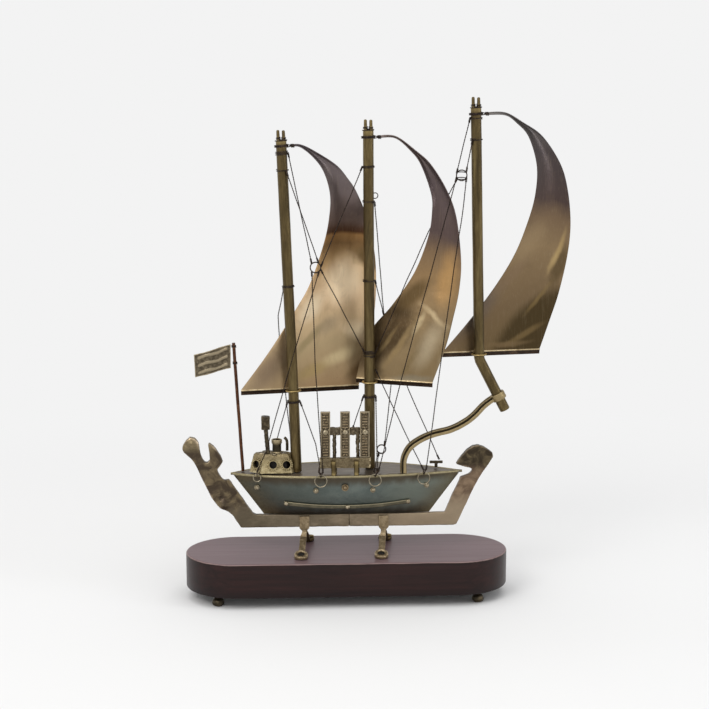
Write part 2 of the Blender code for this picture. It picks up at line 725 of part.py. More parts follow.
def channel_section():
    """The bowsprit's section: a U, hollow side up."""
    wide = BOWSPRIT_WIDTH / 2
    tall = BOWSPRIT_HEIGHT / 2
    inner = wide - BOWSPRIT_WALL
    floor = tall - BOWSPRIT_FLOOR
    return [(-wide, tall), (wide, tall), (wide, -tall), (inner, -tall), (inner, floor),
            (-inner, floor), (-inner, -tall), (-wide, -tall)]


def make_bowsprit():
    """A channel bar from the deck to the bent foot of the fore mast, with an eye round it."""
    stub_foot, bend = mast_path("fore")[:2]
    stub = (stub_foot - bend).normalized()
    eye = bend.lerp(stub_foot, 0.733)
    route = [(48.3, -16.6, 11.5), (53, -15, 21), (62, -13, 27.5), (74, -10.5, 32.1), (90, -7.5, 35.5),
             (103, -5, 41.5), (111, -3.5, 47.5), (118, -2, 54.5), (125, -0.6, 59.5)]
    path = spline([on_deck(48, -17), *(ship(*place) for place in route), eye], 3)
    bar = sweep("bowsprit_bar", path[:-2], channel_section(), "brass")
    lug = rod("bowsprit_lug", [path[-4], path[-3], eye], BOWSPRIT_HEIGHT * 0.48, "brass", 12)
    add_boolean(bar, lug, "UNION")
    collar = rod("bowsprit_collar", [eye - stub * 3, eye + stub * 3], MAST_RADIUS + 2.0, "brass", 24)
    add_boolean(bar, collar, "UNION")
    bore = rod("bowsprit_bore", [eye - stub * 12, eye + stub * 12], MAST_RADIUS + GAP, "brass", 24)
    add_boolean(bar, bore, "DIFFERENCE")


# ---------------------------------------------------------------- masts and sails

# Each mast's bend and head, as drawn places. The foot stands on the deck, but the fore mast's
# hangs from the bowsprit.
MAST_BENDS = {"mizzen": (-45.9, -7.0, 68.5), "main": (19.8, 0.0, 75.5), "fore": (114.3, 0.0, 95.5)}
MAST_HEADS = {"mizzen": (-55.0, -3.0, 283.5), "main": (18.32, 0.0, 292.0), "fore": (109.12, 0.0, 310.5)}
MAST_FEET = {"mizzen": (-43.6, -8.2), "main": (20.2, 0.0)}
FORE_FOOT = (137.4, 0.0, 50.5)

# Each sail's two edges below its tip, down to the foot. The y is counted from the mast's far side.
SAIL_TIPS = {"mizzen": 278.1, "main": 284.9, "fore": 304.1}
SAILS = {
    "mizzen": {
        "left": [(-39.0, -5.5, 277.9), (-27.3, -3.5, 268.5),
                 (-18.9, -2.5, 256.5), (-13.8, -1.5, 238.9), (-14.0, -1.5, 221.3),
                 (-18.4, -1.5, 197.9), (-30.4, -1.7, 162.5), (-43.3, -2.3, 139.1),
                 (-66.5, -7.5, 103.5), (-90.6, -17.2, 72.5)],
        "right": [(-38.6, -4.5, 279.7), (-27.0, -2.5, 274.2),
                  (-8.5, 1.5, 262.1), (1.8, 4.5, 250.0), (9.6, 7.5, 237.8), (19.6, 15.5, 212.5),
                  (26.3, 22.5, 177.5), (26.0, 23.5, 137.5), (19.5, 20.5, 103.5), (11.6, 14.1, 70.5)],
    },
    "main": {
        "left": [(41.0, -4.5, 285.1), (54.5, -5.5, 274.1), (63.1, -6.0, 262.3),
                 (71.7, -6.5, 238.5), (72.6, -6.5, 222.5), (69.5, -3.5, 200.5), (58.5, 3.5, 169.5),
                 (39.9, 8.5, 140.8), (19.0, 9.5, 114.5), (9.0, 6.9, 78.0)],
        "right": [(41.3, -5.0, 286.5), (58.6, -6.5, 274.2), (71.3, -7.5, 262.5),
                  (84.6, -9.5, 241.0), (92.6, -11.0, 218.5), (96.8, -12.5, 182.5),
                  (95.3, -13.5, 156.1), (90.3, -14.3, 132.2), (84.4, -14.5, 108.2),
                  (73.5, -12.9, 76.9)],
    },
    "fore": {
        "left": [(133.9, -3.5, 304.0), (144.3, -2.5, 297.2),
                 (154.7, -2.5, 285.4), (161.9, -2.5, 261.7), (161.3, -2.0, 238.1),
                 (155.6, -1.0, 214.3), (144.0, 1.5, 183.5), (126.0, 4.0, 153.5), (104.0, 3.5, 124.5),
                 (82.8, -4.1, 101.5)],
        "right": [(134.1, -1.5, 305.9), (150.0, 1.5, 297.3),
                  (167.7, 4.5, 284.9), (184.4, 9.5, 260.7), (191.6, 12.5, 236.4),
                  (194.6, 15.5, 208.5), (192.7, 18.0, 181.5), (186.4, 19.0, 150.4),
                  (178.7, 18.5, 126.1), (169.9, 17.5, 100.1)],
    },
}


def mast_path(mast):
    """Foot, bend and head of a mast's centre line."""
    foot = ship(*FORE_FOOT) if mast == "fore" else on_deck(*MAST_FEET[mast])
    return foot, ship(*MAST_BENDS[mast]), ship(*MAST_HEADS[mast])


def axis_of(mast):
    """A point and a direction on the straight upper part of a mast."""
    _, bend, head = mast_path(mast)
    return bend, (head - bend).normalized()


def beside_mast(mast, z, bearing):
    """Where a wire meets a mast at a height, at a bearing: 0 is ahead and 90 the far side."""
    foot, bend, head = mast_path(mast)
    low, high = (foot, bend) if DECK_TOP + z < bend.z else (bend, head)
    centre = low.lerp(high, (DECK_TOP + z - low.z) / (high.z - low.z))
    turn = math.radians(bearing)
    out = Vector((math.cos(turn), math.sin(turn), 0))
    return centre + out * (MAST_RADIUS + GAP + WIRE_RADIUS)


def make_mast(mast):
    foot, bend, head = mast_path(mast)
    _, up = axis_of(mast)
    below = (foot - bend).normalized()
    pole = rod(f"{mast}_mast", [foot, bend + below * 3, bend + up * 3, head], MAST_RADIUS, "brass", 20)
    for number, side in enumerate((-1, 1), 1):
        middle = head + Vector((side * MAST_RADIUS * 0.51, 0, 0))
        prong = rod(f"{mast}_prong_{number}", [middle - up * 4, middle + up * MAST_PRONG_LENGTH],
                    MAST_PRONG_RADIUS, "brass", 10)
        add_boolean(pole, prong, "UNION")


def sail_edge(mast, side, steps):
    """One edge of a sail as a smooth curve, from its tip at the head loop, clear of the mast."""
    point, up = axis_of(mast)
    rise = SAIL_TIPS[mast] + (SAIL_TIP_WIDTH if side == "right" else 0)
    tip = point + up * ((DECK_TOP + rise - point.z) / up.z)
    tip.x += MAST_RADIUS + COLLAR_CLEARANCE + 2 * HEAD_WIRE + SAIL_TIP_GAP
    far_side = point.y - MAST_BENDS[mast][1] + MAST_RADIUS
    places = [ship(x, 0, z) + Vector((0, y + far_side, 0)) for x, y, z in SAILS[mast][side]]
    return spline([tip, *places], steps)


def sail_rows(mast, columns):
    """Rows of points across the sheet, from the masthead down to the hem."""
    left = sail_edge(mast, "left", 2)
    right = sail_edge(mast, "right", 2)
    rows = []
    for row, (start, end) in enumerate(zip(left, right)):
        bow = SAIL_BELLY * math.sin(math.pi * row / (len(left) - 1))
        shares = [column / columns for column in range(columns + 1)]
        rows.append([start.lerp(end, a) + Vector((0, bow * 4 * a * (1 - a), 0)) for a in shares])
    rows.append([p + Vector((0, HEM_SET_BACK, -HEM_DROP)) for p in rows[-1]])
    return rows


def make_sail(mast):
    """A sheet that arcs out from the masthead, with its two loops, all on one swivel axis."""
    point, up = axis_of(mast)
    pivot = add_pivot(f"{mast}_sail_pivot", point)
    columns = 6
    rows = sail_rows(mast, columns)
    wide = columns + 1
    faces = []
    for row in range(len(rows) - 1):
        for column in range(columns):
            corner = row * wide + column
            faces.append((corner, corner + 1, corner + wide + 1, corner + wide))
    points = [p for line in rows for p in line]
    sheet = add_object(f"{mast}_sail", points, faces, "sail_brass", pivot)
    solidify = sheet.modifiers.new("sheet", "SOLIDIFY")
    solidify.thickness = SAIL_THICKNESS * METRES
    solidify.offset = 0
    clear = MAST_RADIUS + COLLAR_CLEARANCE
    foot_z = rows[-2][0].z - HEM_DROP / 2
    wire_ring(f"{mast}_boom_collar", point + up * (foot_z - point.z), up, clear + COLLAR_WIRE,
              COLLAR_WIRE, "brass", 24, pivot)
    head_z = rows[0][0].z + SAIL_TIP_WIDTH / 2
    wire_ring(f"{mast}_head_loop", point + up * (head_z - point.z), up, clear + HEAD_WIRE,
              HEAD_WIRE, "wire_steel", 24, pivot)


# ---------------------------------------------------------------- rigging

def mast_loop(mast, z):
    """Centre, axis and radius of a wire wrapped once round a mast, below its bend."""
    foot, bend = mast_path(mast)[:2]
    up = (bend - foot).normalized()
    centre = foot.lerp(bend, (DECK_TOP + z - foot.z) / (bend.z - foot.z))
    return centre, up, MAST_RADIUS + GAP + RING_WIRE


def above_ring(place, x=0.0):
    """Where a stay stops, just above a shroud ring."""
    return ring_centre(place) + Vector((x, 0, RING_RADII[place] + 2))


def rigging(name, routes, ring=None):
    """Wires twisted together into one piece, joined to a ring or a loop where they share one."""
    pieces = []
    if ring is not None:
        centre, axis, radius = ring
        pieces.append(wire_ring(name, centre, axis, radius, RING_WIRE, "wire_steel"))
    for number, route in enumerate(routes):
        title = name if not pieces else f"{name}_wire_{number}"
        pieces.append(rod(title, route, WIRE_RADIUS, "wire_steel", 6))
    for piece in pieces[1:]:
        add_boolean(pieces[0], piece, "UNION")


def make_mizzen_web():
    """Stays from the mizzen and main masts that meet in a ring, then spread to the deck's edge."""
    web = ship(-26.8, -13.0, 177.4)

    def at_ring(x, z):
        return web + Vector((x, 0, z))

    rigging("mizzen_shroud_web", [
        [beside_mast("mizzen", 273.5, 356), at_ring(-3.2, 3.2)],
        [beside_mast("mizzen", 258.5, 305), at_ring(2.6, 3.7)],
        [beside_mast("main", 261.5, 196), ship(7.2, -3.5, 246.5), at_ring(4.5, 0.6)],
        [at_ring(4.2, -1.6), beside_mast("main", 102.5, 213)],
        [at_ring(-3.2, -3.2), beside_rack(-1, 3.4, -20, 92.5), above_ring("mizzen", 1.8)],
        [at_ring(3.0, -3.4), ship(-46, -14.8, 102.5), ship(-70, -18.6, 19.5),
         above_ring("quarter")],
    ], (web, (0, 1, 0), SHROUD_RING_RADIUS))


def make_topmast_stay():
    """A stay behind the main sail, branched to the cleat, and ended by a small ring."""
    small = ship(29.5, -10, 19.0)
    knot = ship(33.2, 18.5, 131.5)
    rigging("main_topmast_stay", [
        [beside_mast("main", 231.5, 15), knot, ship(39.5, 15.5, 70.5), small + Vector((2.6, 0, 2.7))],
        [beside_mast("main", 164.5, 15), knot],
        [knot, ship(54, 9.5, 67.5), ship(80.6, 1.4, 6.5)],
        [small + Vector((-2.3, 0, -3.0)), above_ring("main", 1.5)],
    ], (small, (0, 1, 0), SHROUD_RING_RADIUS - 0.7))


def make_side_stays():
    """Short stays from a wire looped round each mast below its sail."""
    centre, up, radius = loop = mast_loop("mizzen", 61)
    rigging("mizzen_side_stays", [
        [centre + Vector((-radius, 0.5, 0)), ship(-66.5, 9.5, 1.5)],
        [centre + Vector((radius, -0.5, 0)), beside_rack(-1, 3.4, -24.5, 27.5),
         beside_rack(-1, 0.3, -27.8, 9.5), above_ring("mizzen", -1.6)],
    ], loop)
    centre, up, radius = loop = mast_loop("main", 63.5)
    rigging("main_side_stays", [
        [centre + Vector((radius, -0.5, 0)), beside_rack(1, 5.9, -18, 13.5),
         above_ring("main", -0.8)],
        [centre + Vector((-radius, -0.5, 0)), ship(4.0, -16.2, 37.5)],
    ], loop)
    rigging("main_bow_stay", [
        [beside_mast("main", 87.5, 340), ship(31.5, -4.0, 72.5), ship(53.5, -8, 25.5),
         above_ring("fore")],
    ])
    rigging("mizzen_far_stay", [
        [beside_mast("mizzen", 160.5, 132), ship(-58.4, 7.0, 133.5), ship(-57.5, 12.5, 113.5),
         ship(-46, 21.5, 1.5)],
    ])


def make_fore_web():
    """Stays from the fore mast's head through a spreader loop, down to the rings and main mast."""
    spreader = ship(97.5, -1.0, 253.5)

    def at_ring(x, z):
        return spreader + Vector((x, 0, z))

    rigging("fore_shroud_web", [
        [beside_mast("fore", 302, 194), at_ring(-4.4, 1.5)],
        [beside_mast("fore", 283.5, 224), at_ring(3.8, 2.5)],
        [at_ring(-4.2, -1.5), ship(88.5, -9, 237.5), ship(73, -13, 180.5), ship(45.5, -18.5, 80.5),
         ship(27.5, -26.3, 9.5), above_ring("main", 2.6)],
        [at_ring(4.2, -1.5), ship(97.5, -11, 222.5), ship(90.3, -17, 178.5), ship(76.5, -23, 77.5),
         above_ring("fore", 2)],
        [at_ring(-3.6, -2.5), ship(85.5, 5.5, 233.5), ship(70.2, 7.0, 204.5),
         beside_mast("main", 100.5, 24)],
    ], (spreader, (0, 1, 0), SHROUD_RING_RADIUS))


def main():
    clear_scene()
    make_plinth()
    make_feet()
    make_legs()
    make_keel()
    make_hull()
    make_deck()
    make_strake("strake_near", -1)
    make_strake("strake_far", 1)
    make_hull_fittings()
    make_shroud_rings()
    make_wheelhouse_top(make_wheelhouse())
    make_flag()
    make_rack()
    make_cleat()
    make_bowsprit()
    for mast in MAST_HEADS:
        make_mast(mast)
        make_sail(mast)
    make_mizzen_web()
    make_topmast_stay()
    make_side_stays()
    make_fore_web()


main()
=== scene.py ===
"""Looks of a three-masted ship made of scrap brass and steel, standing on a wooden plinth.

Lengths are in millimetres until a mesh is made, and the finished meshes are in metres.
X runs from stern to bow, Y from the near side to the far side, and Z is up.
"""

import json
import math

import bmesh
import bpy
import numpy as np
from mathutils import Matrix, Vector, noise

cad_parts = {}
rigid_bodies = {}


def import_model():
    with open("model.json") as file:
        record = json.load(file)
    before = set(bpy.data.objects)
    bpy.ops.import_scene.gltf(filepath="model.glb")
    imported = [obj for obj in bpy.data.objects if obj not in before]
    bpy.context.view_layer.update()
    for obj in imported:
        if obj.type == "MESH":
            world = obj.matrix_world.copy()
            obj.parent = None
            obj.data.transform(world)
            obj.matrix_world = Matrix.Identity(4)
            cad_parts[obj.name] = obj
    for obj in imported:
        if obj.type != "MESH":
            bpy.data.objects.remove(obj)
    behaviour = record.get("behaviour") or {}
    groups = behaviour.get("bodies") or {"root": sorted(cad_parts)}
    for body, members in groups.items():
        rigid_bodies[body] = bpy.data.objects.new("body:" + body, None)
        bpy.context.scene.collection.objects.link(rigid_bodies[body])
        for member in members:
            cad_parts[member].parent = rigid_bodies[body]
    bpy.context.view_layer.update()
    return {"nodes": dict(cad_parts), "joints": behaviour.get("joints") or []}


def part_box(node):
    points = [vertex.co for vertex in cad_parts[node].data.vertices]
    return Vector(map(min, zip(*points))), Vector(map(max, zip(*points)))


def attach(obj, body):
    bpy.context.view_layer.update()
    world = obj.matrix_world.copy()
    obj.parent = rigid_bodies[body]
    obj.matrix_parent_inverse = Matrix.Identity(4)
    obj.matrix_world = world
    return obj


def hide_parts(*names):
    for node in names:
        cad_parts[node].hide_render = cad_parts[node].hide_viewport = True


# Fixes the offsets that noise_vector would otherwise draw from the clock
noise.seed_set(7)

for thing in list(bpy.data.objects):
    bpy.data.objects.remove(thing, do_unlink=True)
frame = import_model()

bl_info = {
    "name": "Scrap metal ship",
    "version": (1, 0, 0),
    "blender": (4, 5, 0),
    "location": "3D View > Sidebar > Ship",
    "description": "Makes the finished pieces and finishes of a metal ship on a plinth",
    "category": "Add Mesh",
}

MM = 0.001


def box_mm(node):
    low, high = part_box(node)
    return low / MM, high / MM


def middle_of(node):
    low, high = box_mm(node)
    return (low + high) / 2


# The deck that the places below are drawn for
DRAWN_HALF_LENGTH = 101.0
DRAWN_HALF_BEAM = 28.0
DECK_LOW, DECK_HIGH = box_mm("deck_plate")
DECK_TOP = DECK_HIGH.z
HALF_LENGTH = (DECK_HIGH.x - DECK_LOW.x) / 1.99
HALF_BEAM = DECK_HIGH.y
DECK_THICKNESS = 2.2
DECK_DROP = 2.5
STERN_FULLNESS = 2.7
BOW_FULLNESS = 1.9
HULL_FLARE_POWER = 0.55
MAST_RADIUS = 4.5
GAP = 0.3


def ship(x, y, z):
    """A place stated for the drawn deck, with z counted up from the deck's top amidships."""
    return Vector((x * HALF_LENGTH / DRAWN_HALF_LENGTH, y * HALF_BEAM / DRAWN_HALF_BEAM, DECK_TOP + z))


# ---------------------------------------------------------------- node trees

def tone(red, green, blue):
    """A linear colour from its 8-bit display values."""
    shares = [part / 255 for part in (red, green, blue)]
    return (*[s / 12.92 if s < 0.04 else ((s + 0.055) / 1.055) ** 2.4 for s in shares], 1.0)


class Value:
    """A number socket. Sums written on it add Math nodes."""

    def __init__(self, tree, socket):
        self.tree = tree
        self.socket = socket

    def __add__(self, other):
        return self.tree.maths("ADD", self, other)

    def __sub__(self, other):
        return self.tree.maths("SUBTRACT", self, other)

    def __rsub__(self, other):
        return self.tree.maths("SUBTRACT", other, self)

    def __mul__(self, other):
        return self.tree.maths("MULTIPLY", self, other)

    def __truediv__(self, other):
        return self.tree.maths("DIVIDE", self, other)

    def __pow__(self, other):
        return self.tree.maths("POWER", self, other)

    def __abs__(self):
        return self.tree.maths("ABSOLUTE", self)

    __radd__ = __add__
    __rmul__ = __mul__


class Tree:
    """A node tree with one way to add a node."""

    def __init__(self, tree):
        self.tree = tree

    def feed(self, socket, value):
        if isinstance(value, Value):
            self.tree.links.new(value.socket, socket)
        else:
            socket.default_value = value

    def node(self, kind, settings=None, inputs=None, output=0):
        made = self.tree.nodes.new(kind)
        for name, value in (settings or {}).items():
            if name == "stops":
                self.set_stops(made.color_ramp.elements, value)
            else:
                setattr(made, name, value)
        for key, value in (inputs or {}).items():
            self.feed(made.inputs[key], value)
        return Value(self, made.outputs[output])

    def set_stops(self, elements, stops):
        while len(elements) < len(stops):
            elements.new(1.0)
        for element, (place, colour) in zip(elements, stops):
            element.position = place
            element.color = colour

    def maths(self, operation, first, second=0.0):
        return self.node("ShaderNodeMath", {"operation": operation}, {0: first, 1: second})

    def ease(self, value, low, high):
        """0 below low and 1 above high, with a smooth run between."""
        return self.node("ShaderNodeMapRange", {"interpolation_type": "SMOOTHSTEP"}, {
            "Value": value, "From Min": low, "From Max": high})


class Recipe(Tree):
    """The node tree of one finish."""

    def __init__(self, name):
        self.material = bpy.data.materials.new(name)
        self.material.use_nodes = True
        super().__init__(self.material.node_tree)
        self.shader = self.tree.nodes["Principled BSDF"]
        coordinates = self.tree.nodes.new("ShaderNodeTexCoord")
        self.place = Value(self, coordinates.outputs["Object"])

    def axes(self):
        """X, Y and Z of a point of the piece, in millimetres."""
        split = self.tree.nodes.new("ShaderNodeSeparateXYZ")
        self.feed(split.inputs[0], self.place)
        return [Value(self, socket) * (1 / MM) for socket in split.outputs]

    def grain(self, size, detail=3.0, stretch=(1, 1, 1), rough=0.55, warp=0.0):
        """Noise from 0 to 1 whose features are about size millimetres across."""
        scale = [part / (MM * size) for part in stretch]
        moved = self.node("ShaderNodeMapping", None, {"Vector": self.place, "Scale": scale})
        return self.node("ShaderNodeTexNoise", None, {
            "Vector": moved, "Scale": 1.0, "Detail": detail, "Roughness": rough, "Distortion": warp})

    def clipped(self, value):
        return self.node("ShaderNodeMath", {"operation": "MAXIMUM", "use_clamp": True},
                         {0: value, 1: 0.0})

    def mix(self, share, first, second):
        return self.node("ShaderNodeMix", {"data_type": "RGBA"}, {0: share, 6: first, 7: second}, 2)

    def between(self, value, low, high, dark, light):
        """A colour that runs from the dark to the light tone as a value goes from low to high."""
        return self.mix(self.ease(value, low, high), tone(*dark), tone(*light))

    def ramp(self, value, stops):
        return self.node("ShaderNodeValToRGB", {"stops": stops}, {0: value})

    def attribute(self, name):
        return self.node("ShaderNodeAttribute", {"attribute_name": name}, None, 2)

    def bumps(self, height, depth, below=None):
        inputs = {"Height": height, "Distance": depth * MM, "Strength": 1.0}
        if below is not None:
            inputs["Normal"] = below
        return self.node("ShaderNodeBump", None, inputs)

    def done(self, **sockets):
        for name, value in sockets.items():
            self.feed(self.shader.inputs[name.replace("_", " ")], value)
        return self.material


class Graph(Tree):
    """A Geometry Nodes tree with named inputs, which ends in Realize Instances and Set Material."""

    def __init__(self, name, sizes):
        super().__init__(bpy.data.node_groups.new(name, "GeometryNodeTree"))
        face = self.tree.interface
        face.new_socket("Geometry", in_out="INPUT", socket_type="NodeSocketGeometry")
        for title, default in sizes.items():
            face.new_socket(title, in_out="INPUT", socket_type="NodeSocketFloat").default_value = default
        face.new_socket("Finish", in_out="INPUT", socket_type="NodeSocketMaterial")
        face.new_socket("Geometry", in_out="OUTPUT", socket_type="NodeSocketGeometry")
        self.entry = self.tree.nodes.new("NodeGroupInput")

    def given(self, name):
        return Value(self, self.entry.outputs[name])

    def end(self, geometry):
        real = self.node("GeometryNodeRealizeInstances", None, {0: geometry})
        smooth = self.node("GeometryNodeSetShadeSmooth", None, {0: real})
        painted = self.node("GeometryNodeSetMaterial", None, {
            "Geometry": smooth, "Material": self.given("Finish")})
        leave = self.tree.nodes.new("NodeGroupOutput")
        self.feed(leave.inputs[0], painted)
        return self.tree


def twisted_wire_tree():
    """Two strands twisted together along every curve of the host mesh."""
    graph = Graph("twisted wire", {"Strand Radius": 0.0003, "Strand Offset": 0.00026,
                                   "Pitch": 0.003, "Step": 0.0005})
    curve = graph.node("GeometryNodeMeshToCurve", None, {0: graph.given("Geometry")})
    fine = graph.node("GeometryNodeResampleCurve", {"mode": "LENGTH"}, {
        "Curve": curve, "Length": graph.given("Step")})
    length = graph.node("GeometryNodeSplineParameter", None, None, 1)
    turns = length * (2 * math.pi) / graph.given("Pitch")
    tilted = graph.node("GeometryNodeSetCurveTilt", None, {"Curve": fine, "Tilt": turns})
    strand = graph.node("GeometryNodeCurvePrimitiveCircle", None, {
        "Resolution": 6, "Radius": graph.given("Strand Radius")})
    sides = []
    for side in (-1, 1):
        shift = graph.node("ShaderNodeCombineXYZ", None, {0: graph.given("Strand Offset") * side})
        sides.append(graph.node("GeometryNodeTransform", None, {
            "Geometry": strand, "Translation": shift}))
    both = graph.tree.nodes.new("GeometryNodeJoinGeometry")
    for side in sides:
        graph.feed(both.inputs[0], side)
    return graph.end(graph.node("GeometryNodeCurveToMesh", None, {
        "Curve": tilted, "Profile Curve": Value(graph, both.outputs[0]), "Fill Caps": True}))


def end_on_points(graph, shape, scale):
    """Ends the tree with the shape on every point of the host mesh, turned to face along the point's
    out vector. The scale function gives its X, Y and Z sizes from the point's share."""
    out = graph.node("GeometryNodeInputNamedAttribute", {"data_type": "FLOAT_VECTOR"}, {"Name": "out"})
    turned = graph.node("FunctionNodeAlignRotationToVector", {"axis": "Z"}, {"Vector": out})
    share = graph.node("GeometryNodeInputNamedAttribute", {"data_type": "FLOAT"}, {"Name": "share"})
    size = graph.node("ShaderNodeCombineXYZ", None, dict(enumerate(scale(share))))
    return graph.end(graph.node("GeometryNodeInstanceOnPoints", None, {
        "Points": graph.given("Geometry"), "Instance": shape, "Rotation": turned, "Scale": size}))


def rivet_tree():
    """A low round head on every point of the host mesh, as large as its share."""
    graph = Graph("rivet heads", {"Radius": 0.001, "Height": 0.0006})
    head = graph.node("GeometryNodeMeshUVSphere", None, {
        "Segments": 14, "Rings": 8, "Radius": 1.0})

    def scale(share):
        wide = graph.given("Radius") * share
        return wide, wide, graph.given("Height") * share

    return end_on_points(graph, head, scale)


def rib_tree():
    """A short rounded bar across every point of the host mesh, as many mm long as its share."""
    graph = Graph("ribs", {"Thickness": 0.0005})
    bar = graph.node("GeometryNodeMeshCylinder", None, {
        "Vertices": 8, "Radius": 1.0, "Depth": 1.0})
    thick = graph.given("Thickness")
    return end_on_points(graph, bar, lambda share: (thick, thick, share * MM))


def placed(name, data):
    """A new object in the scene."""
    made = bpy.data.objects.new(name, data)
    bpy.context.scene.collection.objects.link(made)
    return made


def applied(holder, name):
    """The holder's mesh with its modifiers applied. The holder itself is removed."""
    bpy.context.view_layer.update()
    graph = bpy.context.evaluated_depsgraph_get()
    made = bpy.data.meshes.new_from_object(holder.evaluated_get(graph))
    bpy.data.objects.remove(holder, do_unlink=True)
    made.name = name
    return made


def grown(name, host, tree, finish, sizes):
    """The mesh that a node tree makes of a host mesh. Sizes are in mm, by the tree's input names."""
    holder = placed(name, host)
    modifier = holder.modifiers.new(name, "NODES")
    modifier.node_group = bpy.data.node_groups[tree]
    values = {title: size * MM for title, size in sizes.items()}
    values["Finish"] = FINISHES[finish]
    for item in modifier.node_group.interface.items_tree:
        if item.name in values:
            modifier[item.identifier] = values[item.name]
    return applied(holder, name)


def marked_points(name, marks):
    """A host mesh of loose points from (place, out, share) rows, in mm."""
    mesh = bpy.data.meshes.new(name)
    mesh.from_pydata([Vector(place) * MM for place, _, _ in marks], [], [])
    mesh.attributes.new("out", "FLOAT_VECTOR", "POINT")
    mesh.attributes.new("share", "FLOAT", "POINT")
    for i, (_, direction, size) in enumerate(marks):
        mesh.attributes["out"].data[i].vector = direction
        mesh.attributes["share"].data[i].value = size
    return mesh


# ---------------------------------------------------------------- shapes

def circle(radius, sides):
    turns = [2 * math.pi * i / sides for i in range(sides)]
    return [(radius * math.cos(turn), radius * math.sin(turn)) for turn in turns]


def rounded_rectangle(width, height, radius, steps=3):
    """A closed outline with rounded corners."""
    outline = []
    for corner, (side, rise) in enumerate(((1, 1), (-1, 1), (-1, -1), (1, -1))):
        for i in range(steps + 1):
            turn = math.pi / 2 * (corner + i / steps)
            outline.append((side * (width / 2 - radius) + radius * math.cos(turn),
                            rise * (height / 2 - radius) + radius * math.sin(turn)))
    return outline


def spline(points, steps):
    """A smooth open curve through the points, with so many steps to each span."""
    made = []
    for i in range(len(points) - 1):
        p0 = Vector(points[max(i - 1, 0)])
        p1 = Vector(points[i])
        p2 = Vector(points[i + 1])
        p3 = Vector(points[min(i + 2, len(points) - 1)])
        for k in range(steps):
            t = k / steps
            bend = (2 * p0 - 5 * p1 + 4 * p2 - p3) * t * t + (3 * p1 - p0 - 3 * p2 + p3) * t ** 3
            made.append(p1 + ((p2 - p0) * t + bend) / 2)
    made.append(Vector(points[-1]))
    return made


def evenly(start, end, step):
    """Points along a straight run."""
    count = max(1, round((Vector(end) - Vector(start)).length / step))
    return [Vector(start).lerp(Vector(end), i / count) for i in range(count + 1)]


def coil(centre, axis, radius, turns, pitch, start=0.0):
    """The path of a wire wound round an axis, middled on its centre."""
    turn_to_axis = Vector((0, 0, 1)).rotation_difference(Vector(axis)).to_matrix()
    steps = max(6, round(16 * turns))
    path = []
    for i in range(steps + 1):
        turn = start + 2 * math.pi * turns * i / steps
        lift = pitch * turns * (i / steps - 0.5)
        path.append(Vector(centre) + turn_to_axis @ Vector((
            radius * math.cos(turn), radius * math.sin(turn), lift)))
    return path


def waved(place, height, size, seed=0.0):
    """A place moved a little by smooth noise whose waves are about size across."""
    spot = Vector(place) / size + Vector((seed, seed * 0.7, -seed))
    return Vector(place) + noise.noise_vector(spot) * height


def square_to(path, i, side):
    """Two directions square to a path at one of its points, with the first kept along side."""
    before = Vector(path[max(i - 1, 0)])
    after = Vector(path[min(i + 1, len(path) - 1)])
    ahead = (after - before).normalized()
    across = (side - ahead * side.dot(ahead)).normalized()
    return across, ahead.cross(across)


class Shape:
    """Points, faces and edge marks of one mesh, in millimetres."""

    def __init__(self):
        self.points = []
        self.faces = []
        self.marks = []

    def loft(self, rings, caps=True, loop=False):
        """Skins closed rings of equal length. A loop joins the last ring to the first."""
        base = len(self.points)
        count = len(rings[0])
        self.points += [Vector(p) for ring in rings for p in ring]
        self.marks += [0.0] * (count * len(rings))
        if caps and not loop:
            last = base + count * (len(rings) - 1)
            self.faces += [tuple(range(base, base + count)), tuple(range(last, last + count))]
        for row in range(len(rings) if loop else len(rings) - 1):
            low = base + row * count
            high = base + (row + 1) % len(rings) * count
            for i in range(count):
                j = (i + 1) % count
                self.faces.append((low + i, low + j, high + j, high + i))

    def sweep(self, path, profile, side=Vector((0, 1, 0))):
        """Carries a closed profile along a path, with its first axis kept along side."""
        rings = []
        for i, place in enumerate(path):
            across, over = square_to(path, i, side)
            rings.append([Vector(place) + (across * a + over * b) for a, b in profile])
        self.loft(rings)

    def wire(self, path, radius, sides=8):
        """Carries a round section along any path without twisting."""
        across = Vector((0.3, 0.5, 0.8))
        rings = []
        for i, place in enumerate(path):
            across, over = square_to(path, i, across)
            rings.append([Vector(place) + across * a + over * b for a, b in circle(radius, sides)])
        self.loft(rings)

    def turned(self, centre, profile, axis=(0, 0, 1), sides=32, loop=False):
        """A solid turned about an axis, from (radius, height) pairs."""
        turn_to_axis = Vector((0, 0, 1)).rotation_difference(Vector(axis)).to_matrix()
        rings = []
        for radius, height in profile:
            rings.append([Vector(centre) + turn_to_axis @ Vector((a, b, height))
                          for a, b in circle(max(radius, 0.01), sides)])
        self.loft(rings, loop=loop)

    def wave(self, height, size, seed=0.0):
        self.points = [waved(p, height, size, seed) for p in self.points]

    def mesh(self, name, merge=0.002):
        mesh = bpy.data.meshes.new(name)
        mesh.from_pydata([p * MM for p in self.points], [], self.faces)
        mark = mesh.attributes.new("mark", "FLOAT", "POINT")
        for i, value in enumerate(self.marks):
            mark.data[i].value = value
        builder = bmesh.new()
        builder.from_mesh(mesh)
        bmesh.ops.remove_doubles(builder, verts=builder.verts, dist=merge * MM)
        bmesh.ops.recalc_face_normals(builder, faces=builder.faces)
        builder.to_mesh(mesh)
        builder.free()
        return mesh


def numbers(items, field, width=3):
    """One field of a mesh's items as an array, with a row of so many numbers to an item."""
    made = np.empty(len(items) * width, np.float64 if field in ("co", "normal", "vector") else np.int64)
    items.foreach_get(field, made)
    return made.reshape(-1, width) if width > 1 else made


